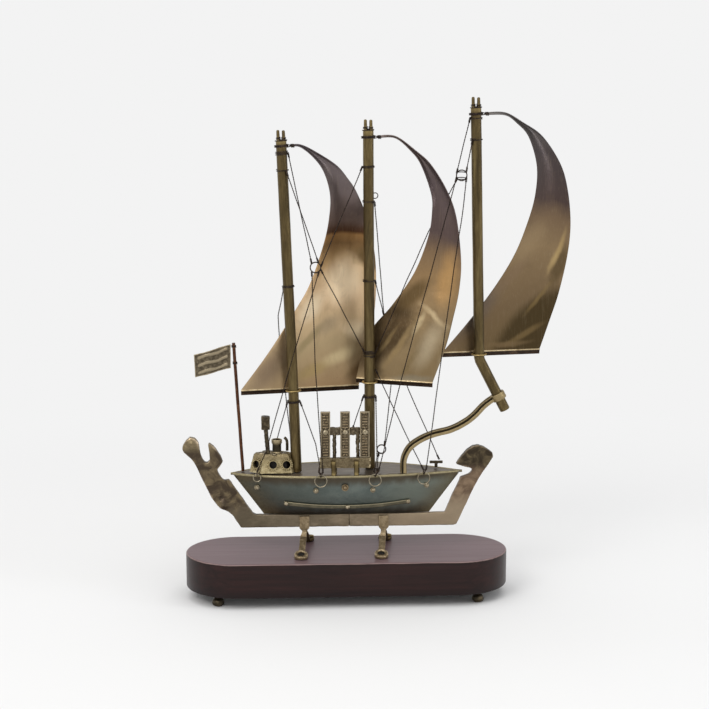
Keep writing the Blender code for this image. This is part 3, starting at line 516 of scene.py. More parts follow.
def mark_wear(mesh, step):
    """Stores how far each point stands out from its neighbours, for worn edges and dark hollows."""
    places = numbers(mesh.vertices, "co")
    normals = numbers(mesh.vertices, "normal")
    edges = numbers(mesh.edges, "vertices", 2)
    wear = np.zeros(len(places))
    for _ in range(2):
        total = np.zeros_like(places)
        count = np.zeros(len(places))
        for a, b in ((0, 1), (1, 0)):
            np.add.at(total, edges[:, a], places[edges[:, b]])
            np.add.at(count, edges[:, a], 1)
        mean = total / np.maximum(count, 1)[:, None]
        wear += ((places - mean) * normals).sum(1) / (step * MM)
        places = mean
    for _ in range(2):
        total = wear.copy()
        for a, b in ((0, 1), (1, 0)):
            np.add.at(total, edges[:, a], wear[edges[:, b]])
        wear = total / (count + 1)
    mesh.attributes.new("wear", "FLOAT", "POINT").data.foreach_set("value", wear)


def cast(name, node, voxel, rounds, swells, lumps=()):
    """A softened copy of a CAD solid, as if cast: swells are (height, size) pairs of noise, and
    lumps are (x, z, radius, height) rounds raised or sunk on the faces of an upright plate."""
    builder = bmesh.new()
    builder.from_mesh(frame["nodes"][node].data)
    bmesh.ops.remove_doubles(builder, verts=builder.verts, dist=0.001 * MM)
    rough = bpy.data.meshes.new(name)
    builder.to_mesh(rough)
    builder.free()
    blank = placed(name, rough)
    remesh = blank.modifiers.new("remesh", "REMESH")
    remesh.mode = "VOXEL"
    remesh.voxel_size = voxel * MM
    soften = blank.modifiers.new("soften", "SMOOTH")
    soften.factor = 0.5
    soften.iterations = rounds
    made = applied(blank, name)
    places = numbers(made.vertices, "co") / MM
    normals = numbers(made.vertices, "normal")
    lift = np.zeros(len(places))
    for x, z, radius, height in lumps:
        reach = ((places[:, 0] - x) ** 2 + (places[:, 2] - z) ** 2) / radius ** 2
        lift += height * np.exp(-reach) * np.abs(normals[:, 1])
    spots = [Vector(place) for place in places]
    for height, size in swells:
        lift += [height * noise.noise(spot / size) for spot in spots]
    places += normals * lift[:, None]
    made.vertices.foreach_set("co", (places * MM).reshape(-1))
    made.update()
    mark_wear(made, voxel)
    return made


# ---------------------------------------------------------------- pieces

FINISHES = {}
MASTS = ("mizzen", "main", "fore")


def add_piece(name, mesh, finishes, nodes=(), body="ship", sharp=42):
    """Puts a finished mesh in the scene, riding on a body and standing for its CAD nodes. Edges
    sharper than so many degrees stay sharp."""
    mesh.shade_smooth()
    mesh.set_sharp_from_angle(angle=math.radians(sharp))
    mesh.materials.clear()
    for finish in [finishes] if isinstance(finishes, str) else finishes:
        mesh.materials.append(FINISHES[finish])
    piece = placed(name, mesh)
    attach(piece, body)
    if nodes:
        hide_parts(*nodes)
    return piece


def add_shape(name, shape, finish, nodes=(), wear=None, body="ship", sharp=42):
    """Adds a piece made of a shape. Wear is the height in mm that counts as a fully worn edge."""
    mesh = shape.mesh(name)
    if wear:
        mark_wear(mesh, wear)
    add_piece(name, mesh, finish, nodes, body, sharp)


def add_cast(name, node, finish, voxel, rounds, swells, lumps=()):
    """Adds a piece that is the softened copy of one CAD solid."""
    add_piece(name, cast(name, node, voxel, rounds, swells, lumps), finish, [node])


def add_grown(name, host, tree, finish, sizes, nodes=(), sharp=42):
    """Adds a piece that a node tree makes of a host mesh."""
    add_piece(name, grown(name, host, tree, finish, sizes), finish, nodes, sharp=sharp)


# ---------------------------------------------------------------- finishes

def metal(name, dark, middle, light, rough, patch, pits, metallic=0.85, stretch=(1, 1, 1),
          contrast=0.85, shade=None):
    """A patinated metal: blotches of three tones, pits, and bright worn edges with dark hollows. A piece's
    marks add to the wear, and the bowsprit's groove is marked down so that it gets painted shade. A shade
    function can darken it further from place to place."""
    made = Recipe(name)
    blotch = made.grain(patch, 4.0, stretch, 0.6, 0.6)
    fine = made.grain(patch / 9, 3.0, stretch)
    pattern = made.clipped(blotch * contrast + fine * 0.3 + (0.35 - contrast / 2))
    colour = made.ramp(pattern, [(0.18, dark), (0.5, middle), (0.8, light)])
    if shade:
        colour = shade(made, colour, blotch, fine)
    # A piece's marks add to the wear: the bowsprit marks its groove down, which paints shade into it
    wear = made.attribute("wear") + made.attribute("mark") * 0.4
    bright = [min(1.0, part * 1.5) for part in light[:3]] + [1.0]
    colour = made.mix(made.ease(wear + fine * 0.1, 0.12, 0.5) * 0.75, colour, bright)
    colour = made.mix(made.ease(wear * -1 + fine * 0.1, 0.08, 0.4) * 0.85, colour, [
        part * 0.3 for part in dark[:3]] + [1.0])
    roughness = made.clipped(rough + (fine - 0.5) * 0.22 - (blotch - 0.5) * 0.2)
    relief = made.bumps(fine, pits, made.bumps(blotch, pits * 2))
    return made.done(Base_Color=colour, Roughness=roughness, Metallic=metallic, Normal=relief)


def roof_shade(made, colour, blotch, fine):
    """The deckhouse is bronze-brown along the top of its walls and on its roof."""
    z = made.axes()[2]
    _, high = box_mm("wheelhouse")
    top = made.ease(z + (blotch - 0.5) * 4, high.z - 5.6, high.z - 3.4)
    return made.mix(top * 0.8, colour, made.mix(fine, tone(84, 72, 50), tone(146, 130, 98)))


def casting_shade(made, colour, _blotch, fine):
    """The keel bar is pale toward the bow. The arms are darker, the stern head's knob is brass and
    the bow's head is olive."""
    x, _, z = made.axes()
    low, _ = box_mm("keel_bow_casting")
    rise = z - low.z
    cloud = made.grain(11.0, 3.0, (1, 1, 1), 0.6, 0.8)
    aft = made.ease(x * -1 + (cloud - 0.5) * 20, -20.0, 60.0)
    colour = made.mix(aft * 0.55, colour, tone(78, 72, 58))
    colour = made.mix(made.ease(x, 10.0, 60.0) * 0.6, colour, tone(164, 146, 122))
    arm = made.ease(rise + (cloud - 0.5) * 12, 8.0, 26.0) * made.ease(x * -1, 60.0, 84.0)
    colour = made.mix(arm * 0.8, colour, made.between(cloud, 0.4, 0.72, (58, 46, 36), (128, 112, 84)))
    knob = made.ease(rise, 66.0, 72.0) * made.ease(x * -1, 110.0, 116.0)
    colour = made.mix(knob * 0.7, colour, made.mix(fine, tone(84, 72, 50), tone(168, 152, 118)))
    stem = made.ease(rise, 14.0, 34.0) * made.ease(x, 60.0, 78.0)
    colour = made.mix(stem * 0.85, colour, made.between(cloud, 0.42, 0.68, (88, 68, 54), (136, 114, 92)))
    head = made.ease(rise + (cloud - 0.5) * 10, 46.0, 56.0) * made.ease(x, 60.0, 78.0)
    return made.mix(head * 0.92, colour, made.between(cloud, 0.4, 0.75, (48, 41, 30), (104, 92, 68)))


def mahogany():
    """Stained wood under varnish, with long faint grain, a paler top painted as sheen and a painted highlight
    line along its rounded edge.
    """
    made = Recipe("varnished mahogany")
    z = made.axes()[2]
    streaks = made.grain(5.0, 5.0, (0.045, 1, 1), 0.6, 0.5)
    pores = made.grain(0.9, 3.0, (0.05, 1, 1))
    cloud = made.grain(38.0, 2.0, (0.4, 1, 1))
    pattern = made.clipped(streaks * 1.1 + pores * 0.35 + cloud * 0.4 - 0.45)
    colours = bpy.context.scene.ship_colours
    deep = [part * 0.38 for part in colours.mahogany] + [1.0]
    warm = [*colours.mahogany, 1.0]
    pale = [min(1, part * 1.75) for part in colours.mahogany] + [1.0]
    colour = made.ramp(pattern, [(0.2, deep), (0.52, warm), (0.85, pale)])
    low, high = box_mm("plinth")
    foot = made.ease(z, low.z, low.z + 9.0)
    colour = made.mix(foot * 0.6 + 0.4, tone(16, 7, 8), colour)
    # Painted sheen: the top is paler and purple-grey, as if it caught the light
    top = made.ease(z, high.z - 0.9, high.z - 0.2)
    colour = made.mix(top * 0.85, colour, tone(114, 94, 97))
    # Painted highlight: a bright line along the rounded top edge, broken by the pores
    edge = made.attribute("mark")
    colour = made.mix(made.ease(edge + (pores - 0.5) * 1.3, 0.55, 1.0) * 0.5, colour, tone(158, 134, 128))
    relief = made.bumps(pores, 0.03)
    return made.done(Base_Color=colour, Roughness=made.clipped(0.38 + (streaks - 0.5) * 0.25),
                     Normal=relief, Specular_IOR_Level=0.22, Coat_Weight=0.06, Coat_Roughness=0.25)


def hull_finish():
    """Blue-grey folded steel with a brown band of painted shade under the deck's rim, brown along the bottom,
    olive at both ends.
    """
    made = Recipe("hull steel")
    x, _, z = made.axes()
    low, high = box_mm("hull_shell")
    cloud = made.grain(22.0, 4.0, (0.6, 1, 1), 0.6, 0.8)
    fine = made.grain(1.6, 4.0)
    upright_streaks = made.grain(6.0, 3.0, (1.0, 1, 0.16), 0.6)
    steel = made.ramp(made.clipped(cloud * 0.9 + fine * 0.3 - 0.1), [
        (0.2, tone(76, 84, 80)), (0.5, tone(104, 113, 108)), (0.85, tone(132, 138, 130))])
    rise = (z - low.z) / (high.z - low.z)
    # Painted shade: a brown band along the top, under the deck's overhanging rim, with a streaky edge
    under_deck_shade = made.ease(rise + (upright_streaks - 0.5) * 0.16, 0.72, 0.95)
    aft = made.ease(x * -1 + (cloud - 0.5) * 40, -6.0, 66.0)
    steel = made.mix(aft * 0.5, steel, tone(66, 68, 58))
    steel = made.mix(made.ease(x + (cloud - 0.5) * 30, 16.0, 56.0) * 0.55, steel, tone(136, 143, 130))
    steel = made.mix(under_deck_shade * 0.85, steel, tone(74, 62, 46))
    deep = 1 - made.ease(rise + (upright_streaks - 0.5) * 0.2, 0.02, 0.3)
    steel = made.mix(deep * 0.85, steel, tone(58, 52, 40))
    reach = abs(x) / HALF_LENGTH
    ends = made.ease(reach - rise * 0.28 + (cloud - 0.5) * 0.35, 0.44, 0.72)
    ended = made.mix(fine, tone(76, 66, 46), tone(122, 110, 84))
    steel = made.mix(ends * 0.8, steel, ended)
    relief = made.bumps(fine, 0.04, made.bumps(cloud, 0.3))
    rough = made.clipped(0.42 + (fine - 0.5) * 0.3 - (cloud - 0.5) * 0.25)
    return made.done(Base_Color=steel, Roughness=rough, Metallic=0.75, Normal=relief)


def deck_finish():
    """Brown steel with rubbed patches and a bare brass rim."""
    made = Recipe("deck steel")
    cloud = made.grain(18.0, 4.0, (0.5, 1, 1), 0.6, 0.7)
    fine = made.grain(1.4, 4.0, (0.4, 1, 1))
    colour = made.ramp(made.clipped(cloud * 1.2 + fine * 0.4 - 0.3), [
        (0.2, tone(82, 72, 60)), (0.5, tone(118, 106, 92)), (0.85, tone(150, 140, 124))])
    rim = made.ease(made.attribute("mark") + (fine - 0.5) * 0.8, 0.3, 0.75)
    colour = made.mix(rim, colour, made.mix(fine, tone(118, 106, 76), tone(168, 158, 126)))
    return made.done(Base_Color=colour, Roughness=made.clipped(0.4 + (fine - 0.5) * 0.3),
                     Metallic=0.8, Normal=made.bumps(fine, 0.04, made.bumps(cloud, 0.15)))


# Each sail's tones, the brass's heat tint with painted reflections and highlights over it. The base runs up
# the sail. A patch is (across, up, half length, half width, turn in degrees, edge softness, strength,
# colour), with across and up as shares of the sail's box.
SAIL_TINT_AND_REFLECTION_BASE = {
    "mizzen": [(0.0, (142, 114, 82)), (0.2, (172, 150, 114)), (0.42, (222, 190, 150)),
               (0.52, (196, 160, 112)), (0.6, (126, 96, 60)), (0.635, (150, 112, 68)),
               (0.65, (78, 50, 30)), (0.668, (84, 60, 46)), (0.70, (108, 90, 82)), (0.8, (108, 96, 94)),
               (1.0, (100, 92, 94))],
    "main": [(0.0, (126, 106, 74)), (0.25, (130, 110, 80)), (0.44, (146, 118, 82)), (0.54, (128, 104, 78)),
             (0.62, (94, 78, 74)), (0.82, (90, 78, 78)), (1.0, (120, 108, 104))],
    "fore": [(0.0, (100, 82, 52)), (0.22, (112, 92, 66)), (0.45, (134, 112, 82)), (0.58, (116, 95, 72)),
             (0.66, (74, 60, 56)), (0.84, (72, 64, 64)), (1.0, (106, 102, 100))],
}
SAIL_TINT_AND_HIGHLIGHT_PATCHES = {
    "mizzen": [
        (0.75, 0.45, 30, 24, 62, 0.8, 1.0, (255, 230, 192)),
        (0.97, 0.52, 26, 10, -30, 0.6, 0.9, (104, 82, 48)),
        (0.50, 0.34, 22, 12, 52, 0.9, 0.7, (236, 218, 186)),
        (0.92, 0.23, 26, 13, -24, 0.8, 0.8, (244, 222, 184)),
        (0.64, 0.27, 20, 9, 30, 0.8, 0.65, (158, 140, 112)),
        (0.50, 0.215, 24, 5, 48, 0.8, 0.6, (134, 120, 84)),
        (0.20, 0.10, 42, 17, 48, 0.9, 0.75, (118, 98, 80)),
        (0.72, 0.14, 24, 8, 18, 0.9, 0.7, (206, 186, 144)),
        (0.52, 0.09, 24, 8, 20, 0.8, 0.7, (156, 134, 88)),
        (0.90, 0.10, 26, 7, 34, 0.8, 0.85, (112, 90, 60)),
    ],
    "main": [
        (0.88, 0.44, 34, 11, 82, 0.9, 0.85, (186, 146, 94)),
        (0.22, 0.20, 52, 24, 42, 0.45, 1.0, (72, 56, 34)),
        (0.56, 0.365, 24, 10, 44, 0.7, 0.85, (92, 72, 42)),
        (0.40, 0.155, 34, 3.4, 56, 0.8, 0.8, (138, 116, 80)),
        (0.27, 0.16, 28, 2.6, 54, 0.8, 0.7, (118, 98, 64)),
        (0.52, 0.10, 24, 3.4, 58, 0.7, 0.65, (112, 94, 62)),
        (0.70, 0.17, 32, 12, 64, 0.9, 0.85, (166, 150, 122)),
        (0.76, 0.285, 20, 5, -46, 1.0, 0.8, (196, 174, 136)),
        (0.60, 0.25, 18, 3.0, 62, 0.8, 0.7, (168, 150, 116)),
        (0.56, 0.035, 28, 5, 4, 0.8, 0.7, (132, 122, 102)),
        (0.86, 0.08, 9, 16, 0, 0.8, 0.5, (168, 156, 132)),
    ],
    "fore": [
        (0.74, 0.10, 62, 28, 43, 0.4, 1.0, (68, 54, 30)),
        (0.24, 0.19, 44, 17, 47, 0.8, 0.85, (98, 86, 76)),
        (0.92, 0.37, 26, 9, 72, 0.7, 0.75, (84, 68, 42)),
        (0.88, 0.40, 22, 4.4, 64, 1.0, 0.85, (178, 152, 104)),
        (0.93, 0.46, 20, 3.4, 76, 1.0, 0.7, (168, 142, 96)),
        (0.76, 0.235, 26, 3.0, 50, 0.8, 0.6, (128, 106, 66)),
        (0.66, 0.47, 34, 16, 52, 0.9, 0.6, (150, 128, 96)),
        (0.52, 0.33, 30, 7, 48, 0.8, 0.5, (126, 104, 80)),
        (0.66, 0.09, 26, 4, 28, 0.8, 0.55, (124, 102, 66)),
        (0.52, 0.05, 30, 3.6, 6, 0.8, 0.6, (122, 100, 70)),
    ],
}


def sail_finish(mast):
    """Heat-toned brass sheet with painted reflections and highlights in bands and patches, and fine brushing
    along its height.
    """
    made = Recipe(f"{mast} sail brass")
    x, _, z = made.axes()
    low, high = box_mm(f"{mast}_sail")
    size = high - low
    warp = made.grain(30.0, 3.0, (1, 1, 1), 0.55)
    ripple = made.grain(9.0, 3.0, (1, 1, 0.5), 0.6, 0.5)
    across = x - low.x + (warp - 0.5) * 14 + (ripple - 0.5) * 4
    up = z - low.z + (warp - 0.5) * 10
    bend = (across / size.x - 0.7) * (1 / 0.3)
    base_up = up / size.z + bend * bend * 0.04
    # Painted reflections and highlights: the bands and patches stand for dark and bright surroundings
    # mirrored in the curved brass, over its heat tint
    colour = made.ramp(base_up, [(place, tone(*shade)) for place, shade in SAIL_TINT_AND_REFLECTION_BASE[mast]])
    for middle_x, middle_z, wide, tall, turn, soft, strength, shade in SAIL_TINT_AND_HIGHLIGHT_PATCHES[mast]:
        angle = math.radians(turn)
        dx = across - middle_x * size.x
        dz = up - middle_z * size.z
        along = (dx * math.cos(angle) + dz * math.sin(angle)) / wide
        over = (dz * math.cos(angle) - dx * math.sin(angle)) / tall
        reach = (along * along + over * over) ** 0.5
        inside = 1 - made.ease(reach, 1 - soft, 1.0)
        colour = made.mix(inside * strength, colour, tone(*shade))
    cloud = made.grain(9.0, 4.0, (1, 1, 0.6), 0.6, 0.6)
    brush = made.grain(0.7, 3.0, (1.0, 1, 0.03))
    dull = made.ease(cloud + (brush - 0.5) * 0.4, 0.5, 0.75)
    colour = made.mix(dull * 0.16, colour, tone(100, 84, 62))
    colour = made.mix(made.ease(brush, 0.5, 0.85) * 0.07, colour, tone(232, 212, 176))
    rough = made.clipped(0.36 + (cloud - 0.5) * 0.25 + (brush - 0.5) * 0.15)
    relief = made.bumps(brush, 0.012, made.bumps(warp, 0.9, made.bumps(cloud, 0.06)))
    return made.done(Base_Color=colour, Roughness=rough, Metallic=0.82, Normal=relief)


# Each plain metal's name, its dark, middle and light tones, its roughness, the size of its blotches and
# the depth of its pits in mm, and how metallic it is
METALS = {
    "leg": ("leg brass", (80, 66, 48), (138, 121, 94), (186, 168, 138), 0.4, 5.0, 0.07, 0.85),
    "channel": ("channel brass", (46, 38, 24), (88, 76, 52), (134, 118, 86), 0.4, 8.0, 0.06, 0.85),
    "bronze": ("dark bronze", (30, 26, 20), (66, 58, 44), (116, 104, 82), 0.42, 4.0, 0.08, 0.85),
    "rack": ("rack bronze", (42, 36, 28), (88, 78, 62), (138, 126, 104), 0.42, 3.0, 0.08, 0.85),
    "beam": ("beam brass", (64, 55, 40), (110, 97, 73), (158, 144, 114), 0.42, 3.5, 0.10, 0.85),
    "stud": ("pale stud brass", (74, 66, 50), (146, 134, 110), (208, 197, 174), 0.34, 2.0, 0.03, 0.85),
    "ring": ("ring brass", (84, 76, 60), (142, 132, 112), (186, 178, 156), 0.36, 3.0, 0.03, 0.85),
    "strake": ("strake brass", (62, 58, 46), (98, 93, 76), (136, 128, 104), 0.38, 8.0, 0.04, 0.85),
    "flagpole": ("flagpole copper", (40, 22, 14), (84, 52, 34), (124, 88, 60), 0.42, 6.0, 0.04, 0.85),
    "wire": ("rigging wire", (16, 12, 10), (42, 32, 26), (92, 74, 58), 0.45, 3.0, 0.02, 0.7),
    # Painted shade: the hem's near-black tones stand for the shade under the sail's folded foot
    "hem": ("hem brass", (22, 16, 12), (52, 38, 28), (96, 74, 54), 0.42, 8.0, 0.05, 0.85),
    # Painted highlight: the rim's pale tones stand for the light caught along the sail's rolled edge
    "rim": ("bright rim brass", (120, 102, 74), (186, 166, 130), (226, 210, 178), 0.32, 6.0, 0.03, 0.85),
    # Painted shade: a near-black finish for pieces put where holes and insides show only shade
    "hollow": ("dark hollow", (10, 8, 6), (22, 18, 14), (46, 36, 28), 0.6, 4.0, 0.03, 0.4),
}


def mix_finishes():
    brass = [*bpy.context.scene.ship_colours.aged_brass, 1.0]
    for key, (name, dark, middle, light, *rest) in METALS.items():
        FINISHES[key] = metal(name, tone(*dark), tone(*middle), tone(*light), *rest)
    FINISHES.update({
        "mahogany": mahogany(),
        "hull": hull_finish(),
        "deck": deck_finish(),
        "mast": metal("mast brass", tone(44, 36, 22), [part * 0.72 for part in brass[:3]] + [1.0],
                      tone(128, 112, 74), 0.42, 7.0, 0.04, stretch=(1, 1, 0.12)),
        "keel": metal("keel brass", tone(78, 68, 54), tone(124, 110, 90), tone(170, 152, 128), 0.38,
                      20.0, 0.05, stretch=(0.5, 1, 1), contrast=0.8, shade=casting_shade),
        "cabin": metal("hammered brass", tone(104, 90, 62), tone(164, 149, 112), tone(208, 196, 160),
                       0.45, 4.0, 0.12, 0.75, shade=roof_shade),
        "brass": metal("aged brass", tone(60, 48, 28), brass, tone(150, 130, 86), 0.4, 6.0, 0.05),
    })
    for mast in MASTS:
        FINISHES[f"{mast}_sail"] = sail_finish(mast)


# ---------------------------------------------------------------- plinth, feet and carriers

def plinth_outline(length, depth, inset, z, steps=36):
    """An obround ring of points, drawn in by inset all round."""
    radius = depth / 2 - inset
    straight = length / 2 - depth / 2
    ring = []
    for end in (1, -1):
        for i in range(steps + 1):
            turn = math.pi * (i / steps - 0.5)
            ring.append((end * (straight + radius * math.cos(turn)), end * radius * math.sin(turn), z))
    return ring


PLINTH_BEVEL = 1.4
BEVEL_STEPS = 5


def make_plinth():
    """The wooden block, with a small bevel below and a rounded edge above whose marks place a painted
    highlight.
    """
    low, high = box_mm("plinth")
    levels = [(PLINTH_BEVEL, low.z), (PLINTH_BEVEL * 0.3, low.z + PLINTH_BEVEL * 0.3),
              (0, low.z + PLINTH_BEVEL)]
    levels += [(0, low.z + (high.z - low.z) * share) for share in (0.35, 0.65)]
    marks = [0.0] * len(levels)
    for i in range(BEVEL_STEPS + 1):
        turn = math.pi / 2 * i / BEVEL_STEPS
        levels.append((PLINTH_BEVEL * (1 - math.cos(turn)),
                       high.z - PLINTH_BEVEL + PLINTH_BEVEL * math.sin(turn)))
        # Marks for the painted highlight line along the rounded edge
        marks.append(math.sin(2 * turn))
    levels.append((PLINTH_BEVEL * 2.2, high.z))
    marks.append(0.0)
    rings = [plinth_outline(high.x - low.x, high.y - low.y, inset, z) for inset, z in levels]
    block = Shape()
    block.loft(rings)
    block.marks = [mark for mark in marks for _ in rings[0]]
    add_shape("plinth_block", block, "mahogany", ["plinth"])


# A ball foot's outline as (radius, height), drawn for this width and height
FOOT_WIDTH = 10.4
FOOT_HEIGHT = 9.7
FOOT_PROFILE = [(0.01, 0), (2.4, 0), (3.6, 0.25), (4.7, 1.2), (5.15, 2.6), (5.2, 3.6), (4.9, 4.9), (4.2, 6.0),
                (3.2, 6.8), (2.5, 7.3), (2.3, 8.0), (2.5, 8.4), (3.4, 8.6), (4.1, 8.8), (4.2, 9.3),
                (4.0, 9.7), (0.01, 9.7)]


def nodes_named(start):
    """The CAD nodes whose names start so, in the frame's order."""
    return [node for node in frame["nodes"] if node.startswith(start)]


def make_feet():
    for node in nodes_named("ball_foot_"):
        low, high = box_mm(node)
        size = (high.x - low.x) / FOOT_WIDTH
        foot = Shape()
        foot.turned(((low.x + high.x) / 2, (low.y + high.y) / 2, low.z), [
            (radius * size, height * (high.z - low.z) / FOOT_HEIGHT) for radius, height in FOOT_PROFILE])
        foot.wave(0.12, 2.5)
        add_shape(f"{node}_turned", foot, "bronze", [node], wear=3.0)


# Rounds raised or sunk on the keel castings: x from the casting's outer end, z from its bottom,
# radius and height
BOSSES = {
    "stern": [(9.0, 74.5, 5.0, 2.6), (27.5, 71.0, 4.5, 0.7), (13.0, 61.0, 5.0, -0.9), (23.0, 57.0, 4.0, 0.8),
              (22.0, 47.0, 4.5, 1.3), (30.5, 40.0, 3.5, -1.1), (27.0, 30.0, 3.6, 1.2), (34.5, 21.5, 4.0, 1.7),
              (33.0, 27.0, 2.2, -1.0), (38.0, 15.0, 3.0, -0.6)],
    "bow": [(-14.0, 62.0, 8.0, 1.1), (-24.0, 53.0, 5.0, 0.7), (-8.0, 56.0, 4.0, -0.7),
            (-18.0, 44.0, 3.4, -0.5)],
}
CASTING_SWELLS = {"stern": [(0.22, 6.0), (0.08, 2.0)], "bow": [(0.18, 7.0), (0.06, 2.0)]}
WELD_HEIGHT = 10.4
EYE_RADIUS = 4.5
EYE_WIRE = 1.35
EYE_INSET = 6
EYE_HEIGHT = 3.3
EYE_TILT = 24


def make_keel():
    """The two castings with their worked heads, and the solder where they meet."""
    for end in ("stern", "bow"):
        node = f"keel_{end}_casting"
        low, high = box_mm(node)
        outer = low.x if end == "stern" else high.x
        bosses = [(outer + x, low.z + z, radius, height) for x, z, radius, height in BOSSES[end]]
        add_cast(f"keel_{end}_cast", node, "keel", 0.6, 5, CASTING_SWELLS[end], bosses)
    low, _ = box_mm("keel_bow_casting")
    weld = Shape()
    weld.sweep([Vector((low.x - GAP / 2, 0.2, low.z + 0.5 + WELD_HEIGHT * i / 12)) for i in range(13)],
               rounded_rectangle(4.2, 0.9, 0.4))
    weld.wave(0.12, 2.0)
    add_shape("keel_weld", weld, "bronze")


def make_legs():
    """The key-like legs, each with a round eye at its foot and a dark disc of painted shade in the eye."""
    for node in nodes_named("leg_"):
        near = node.endswith("near")
        finish = "leg" if near else "brass"
        add_cast(f"{node}_cast", node, finish, 0.3, 3, [(0.16, 3.2), (0.05, 1.1)])
        low, high = box_mm(node)
        corner, inward = (low, EYE_INSET) if near else (high, -EYE_INSET)
        middle = Vector((corner.x + inward, corner.y + inward, low.z + EYE_HEIGHT))
        tilt = math.radians(EYE_TILT if near else -EYE_TILT)
        axis = (0, -math.sin(tilt), math.cos(tilt))
        eye = Shape()
        eye.turned(middle, [(EYE_RADIUS + a, b) for a, b in circle(EYE_WIRE, 14)], axis, 36, loop=True)
        eye.wave(0.2, 3.0, low.x)
        add_shape(f"{node}_eye", eye, finish, wear=0.7)
        # A near-black disc in the eye: painted shade where the hole is
        hollow = Shape()
        hollow.turned(middle, [(0.01, -0.9), (3.9, -0.9), (3.9, -0.5), (0.01, -0.5)], axis, 24)
        add_shape(f"{node}_hollow", hollow, "hollow")


# ---------------------------------------------------------------- hull and deck

def lens_share(x, half_length):
    """The share of the full beam at x, fuller toward the stern than toward the bow."""
    power = STERN_FULLNESS if x < 0 else BOW_FULLNESS
    return max(0.0, 1 - abs(x / half_length) ** power)


def deck_fall(x):
    """How far the deck has dropped at x, toward either end."""
    return DECK_DROP * (x / HALF_LENGTH) ** 2


def on_deck(x, y):
    """A place on the deck's surface."""
    place = ship(x, y, GAP)
    place.z -= deck_fall(place.x)
    return place


# The hull's plan at its bottom and how far its rim stays inside the deck's edge, lengthways
BOTTOM_HALF_LENGTH = 72.0
BOTTOM_HALF_BEAM = 4.0
RIM_INSET = 3.0


def hull_plan(share):
    """Half the hull's length and half its beam at a share of its height."""
    bottom = BOTTOM_HALF_LENGTH * HALF_LENGTH / DRAWN_HALF_LENGTH
    half_length = bottom + (HALF_LENGTH - RIM_INSET - bottom) * share
    half_beam = BOTTOM_HALF_BEAM + (HALF_BEAM - 6.0) * share ** HULL_FLARE_POWER
    return half_length, half_beam


def hull_half_beam(x, z):
    """Half the hull's beam at a place on its side."""
    low, high = box_mm("hull_shell")
    share = min(1.0, max(0.0, (z - low.z) / (high.z - low.z - deck_fall(x))))
    half_length, half_beam = hull_plan(share)
    return half_beam * lens_share(x, half_length)


def make_hull():
    """The folded hull, lofted in levels from its bottom to its rim, with uneven sides."""
    low, high = box_mm("hull_shell")
    tall = high.z - low.z
    stations = 56
    rings = []
    for share in (0.0, 0.02, 0.06, 0.12, 0.2, 0.3, 0.4, 0.5, 0.6, 0.7, 0.8, 0.88, 0.94, 0.98, 1.0):
        half_length, half_beam = hull_plan(share)
        near = []
        for i in range(stations + 1):
            x = half_length * math.sin(math.pi * (i / stations - 0.5))
            near.append(Vector((x, -half_beam * lens_share(x, half_length),
                                low.z + share * (tall - deck_fall(x)))))
        rings.append(near + [Vector((p.x, -p.y, p.z)) for p in near[-2:0:-1]])
    hull = Shape()
    hull.loft(rings)
    hull.points = [p + Vector((0, 1, 0)) * 0.3 * noise.noise(p / 17) * min(1, abs(p.y) / 6)
                   for p in hull.points]
    add_shape("folded_hull", hull, "hull", ["hull_shell"], sharp=50)


DECK_BEAD = 1.15
DECK_DIP = 0.35


def edge_bead(x, side, half, top, size, start):
    """The round bead along one edge of the deck at a station."""
    turns = [math.pi * (start - k / 8 * 1.35) for k in range(9)]
    return [Vector((x, side * (half - size) + size * math.cos(turn), top - size + size * math.sin(turn)))
            for turn in turns]


def make_deck():
    """The deck, a little uneven, with a marked bead along both edges."""
    stations = 96
    shares = (-1, -0.75, -0.5, -0.25, 0, 0.25, 0.5, 0.75, 1)
    deck = Shape()
    rings = []
    for i in range(stations + 1):
        x = HALF_LENGTH * 0.995 * math.sin(math.pi * (i / stations - 0.5))
        half = max(HALF_BEAM * lens_share(x, HALF_LENGTH), 0.9)
        top = DECK_TOP - deck_fall(x)
        low = top - DECK_THICKNESS
        size = min(DECK_BEAD, half * 0.45)
        inner = half - size * 2.2
        flat = [Vector((x, inner * s, top - DECK_DIP - 0.25 * noise.noise(Vector((x, inner * s, 0)) / 16)))
                for s in shares]
        under = [Vector((x, half - size * 2, low)), Vector((x, -half + size * 2, low))]
        rings.append(flat + edge_bead(x, 1, half, top, size, 0.85) + under
                     + edge_bead(x, -1, half, top, size, 1.5))
    deck.loft(rings)
    deck.marks = ([0.0] * 9 + [1.0] * 9 + [0.0] * 2 + [1.0] * 9) * len(rings)
    add_shape("rimmed_deck", deck, "deck", ["deck_plate"])


STRAKE_SAG = 3.0
STRAKE_SPANS = 72


def make_strakes():
    """The strips that sag along the hull's sides, each with a bright lip and three rivets."""
    sizes = bpy.context.scene.ship_sizes
    upright = Vector((0, 0, 1))
    for side, node in ((-1, "strake_near"), (1, "strake_far")):
        _, high = box_mm(node)
        path = []
        for i in range(STRAKE_SPANS + 1):
            share = 2 * i / STRAKE_SPANS - 1
            x = high.x * 0.999 * share
            z = high.z - 2.0 - STRAKE_SAG * (1 - share ** 2)
            path.append(Vector((x, side * (hull_half_beam(x, z + 2.0) + GAP + 0.55), z)))
        strip = Shape()
        strip.sweep(path, rounded_rectangle(3.1, 1.1, 0.5), upright)
        strip.sweep([p + Vector((0, side * 0.35, 1.35)) for p in path], rounded_rectangle(0.9, 0.9, 0.4),
                    upright)
        strip.wave(0.08, 9.0, side)
        half = len(strip.points) // 2
        strip.marks = [-0.35] * half + [1.0] * half
        add_shape(f"{node}_strip", strip, "strake", [node])
        rivets = [(path[round(share * STRAKE_SPANS)] + Vector((0, side * 0.6, 0)), (0, side, 0), 1.0)
                  for share in (0.02, 0.5, 0.98)]
        add_grown(f"{node}_rivets", marked_points(f"{node}_rivets", rivets), "rivet heads", "stud",
                  {"Radius": 2.1, "Height": sizes.rivet_height / MM})


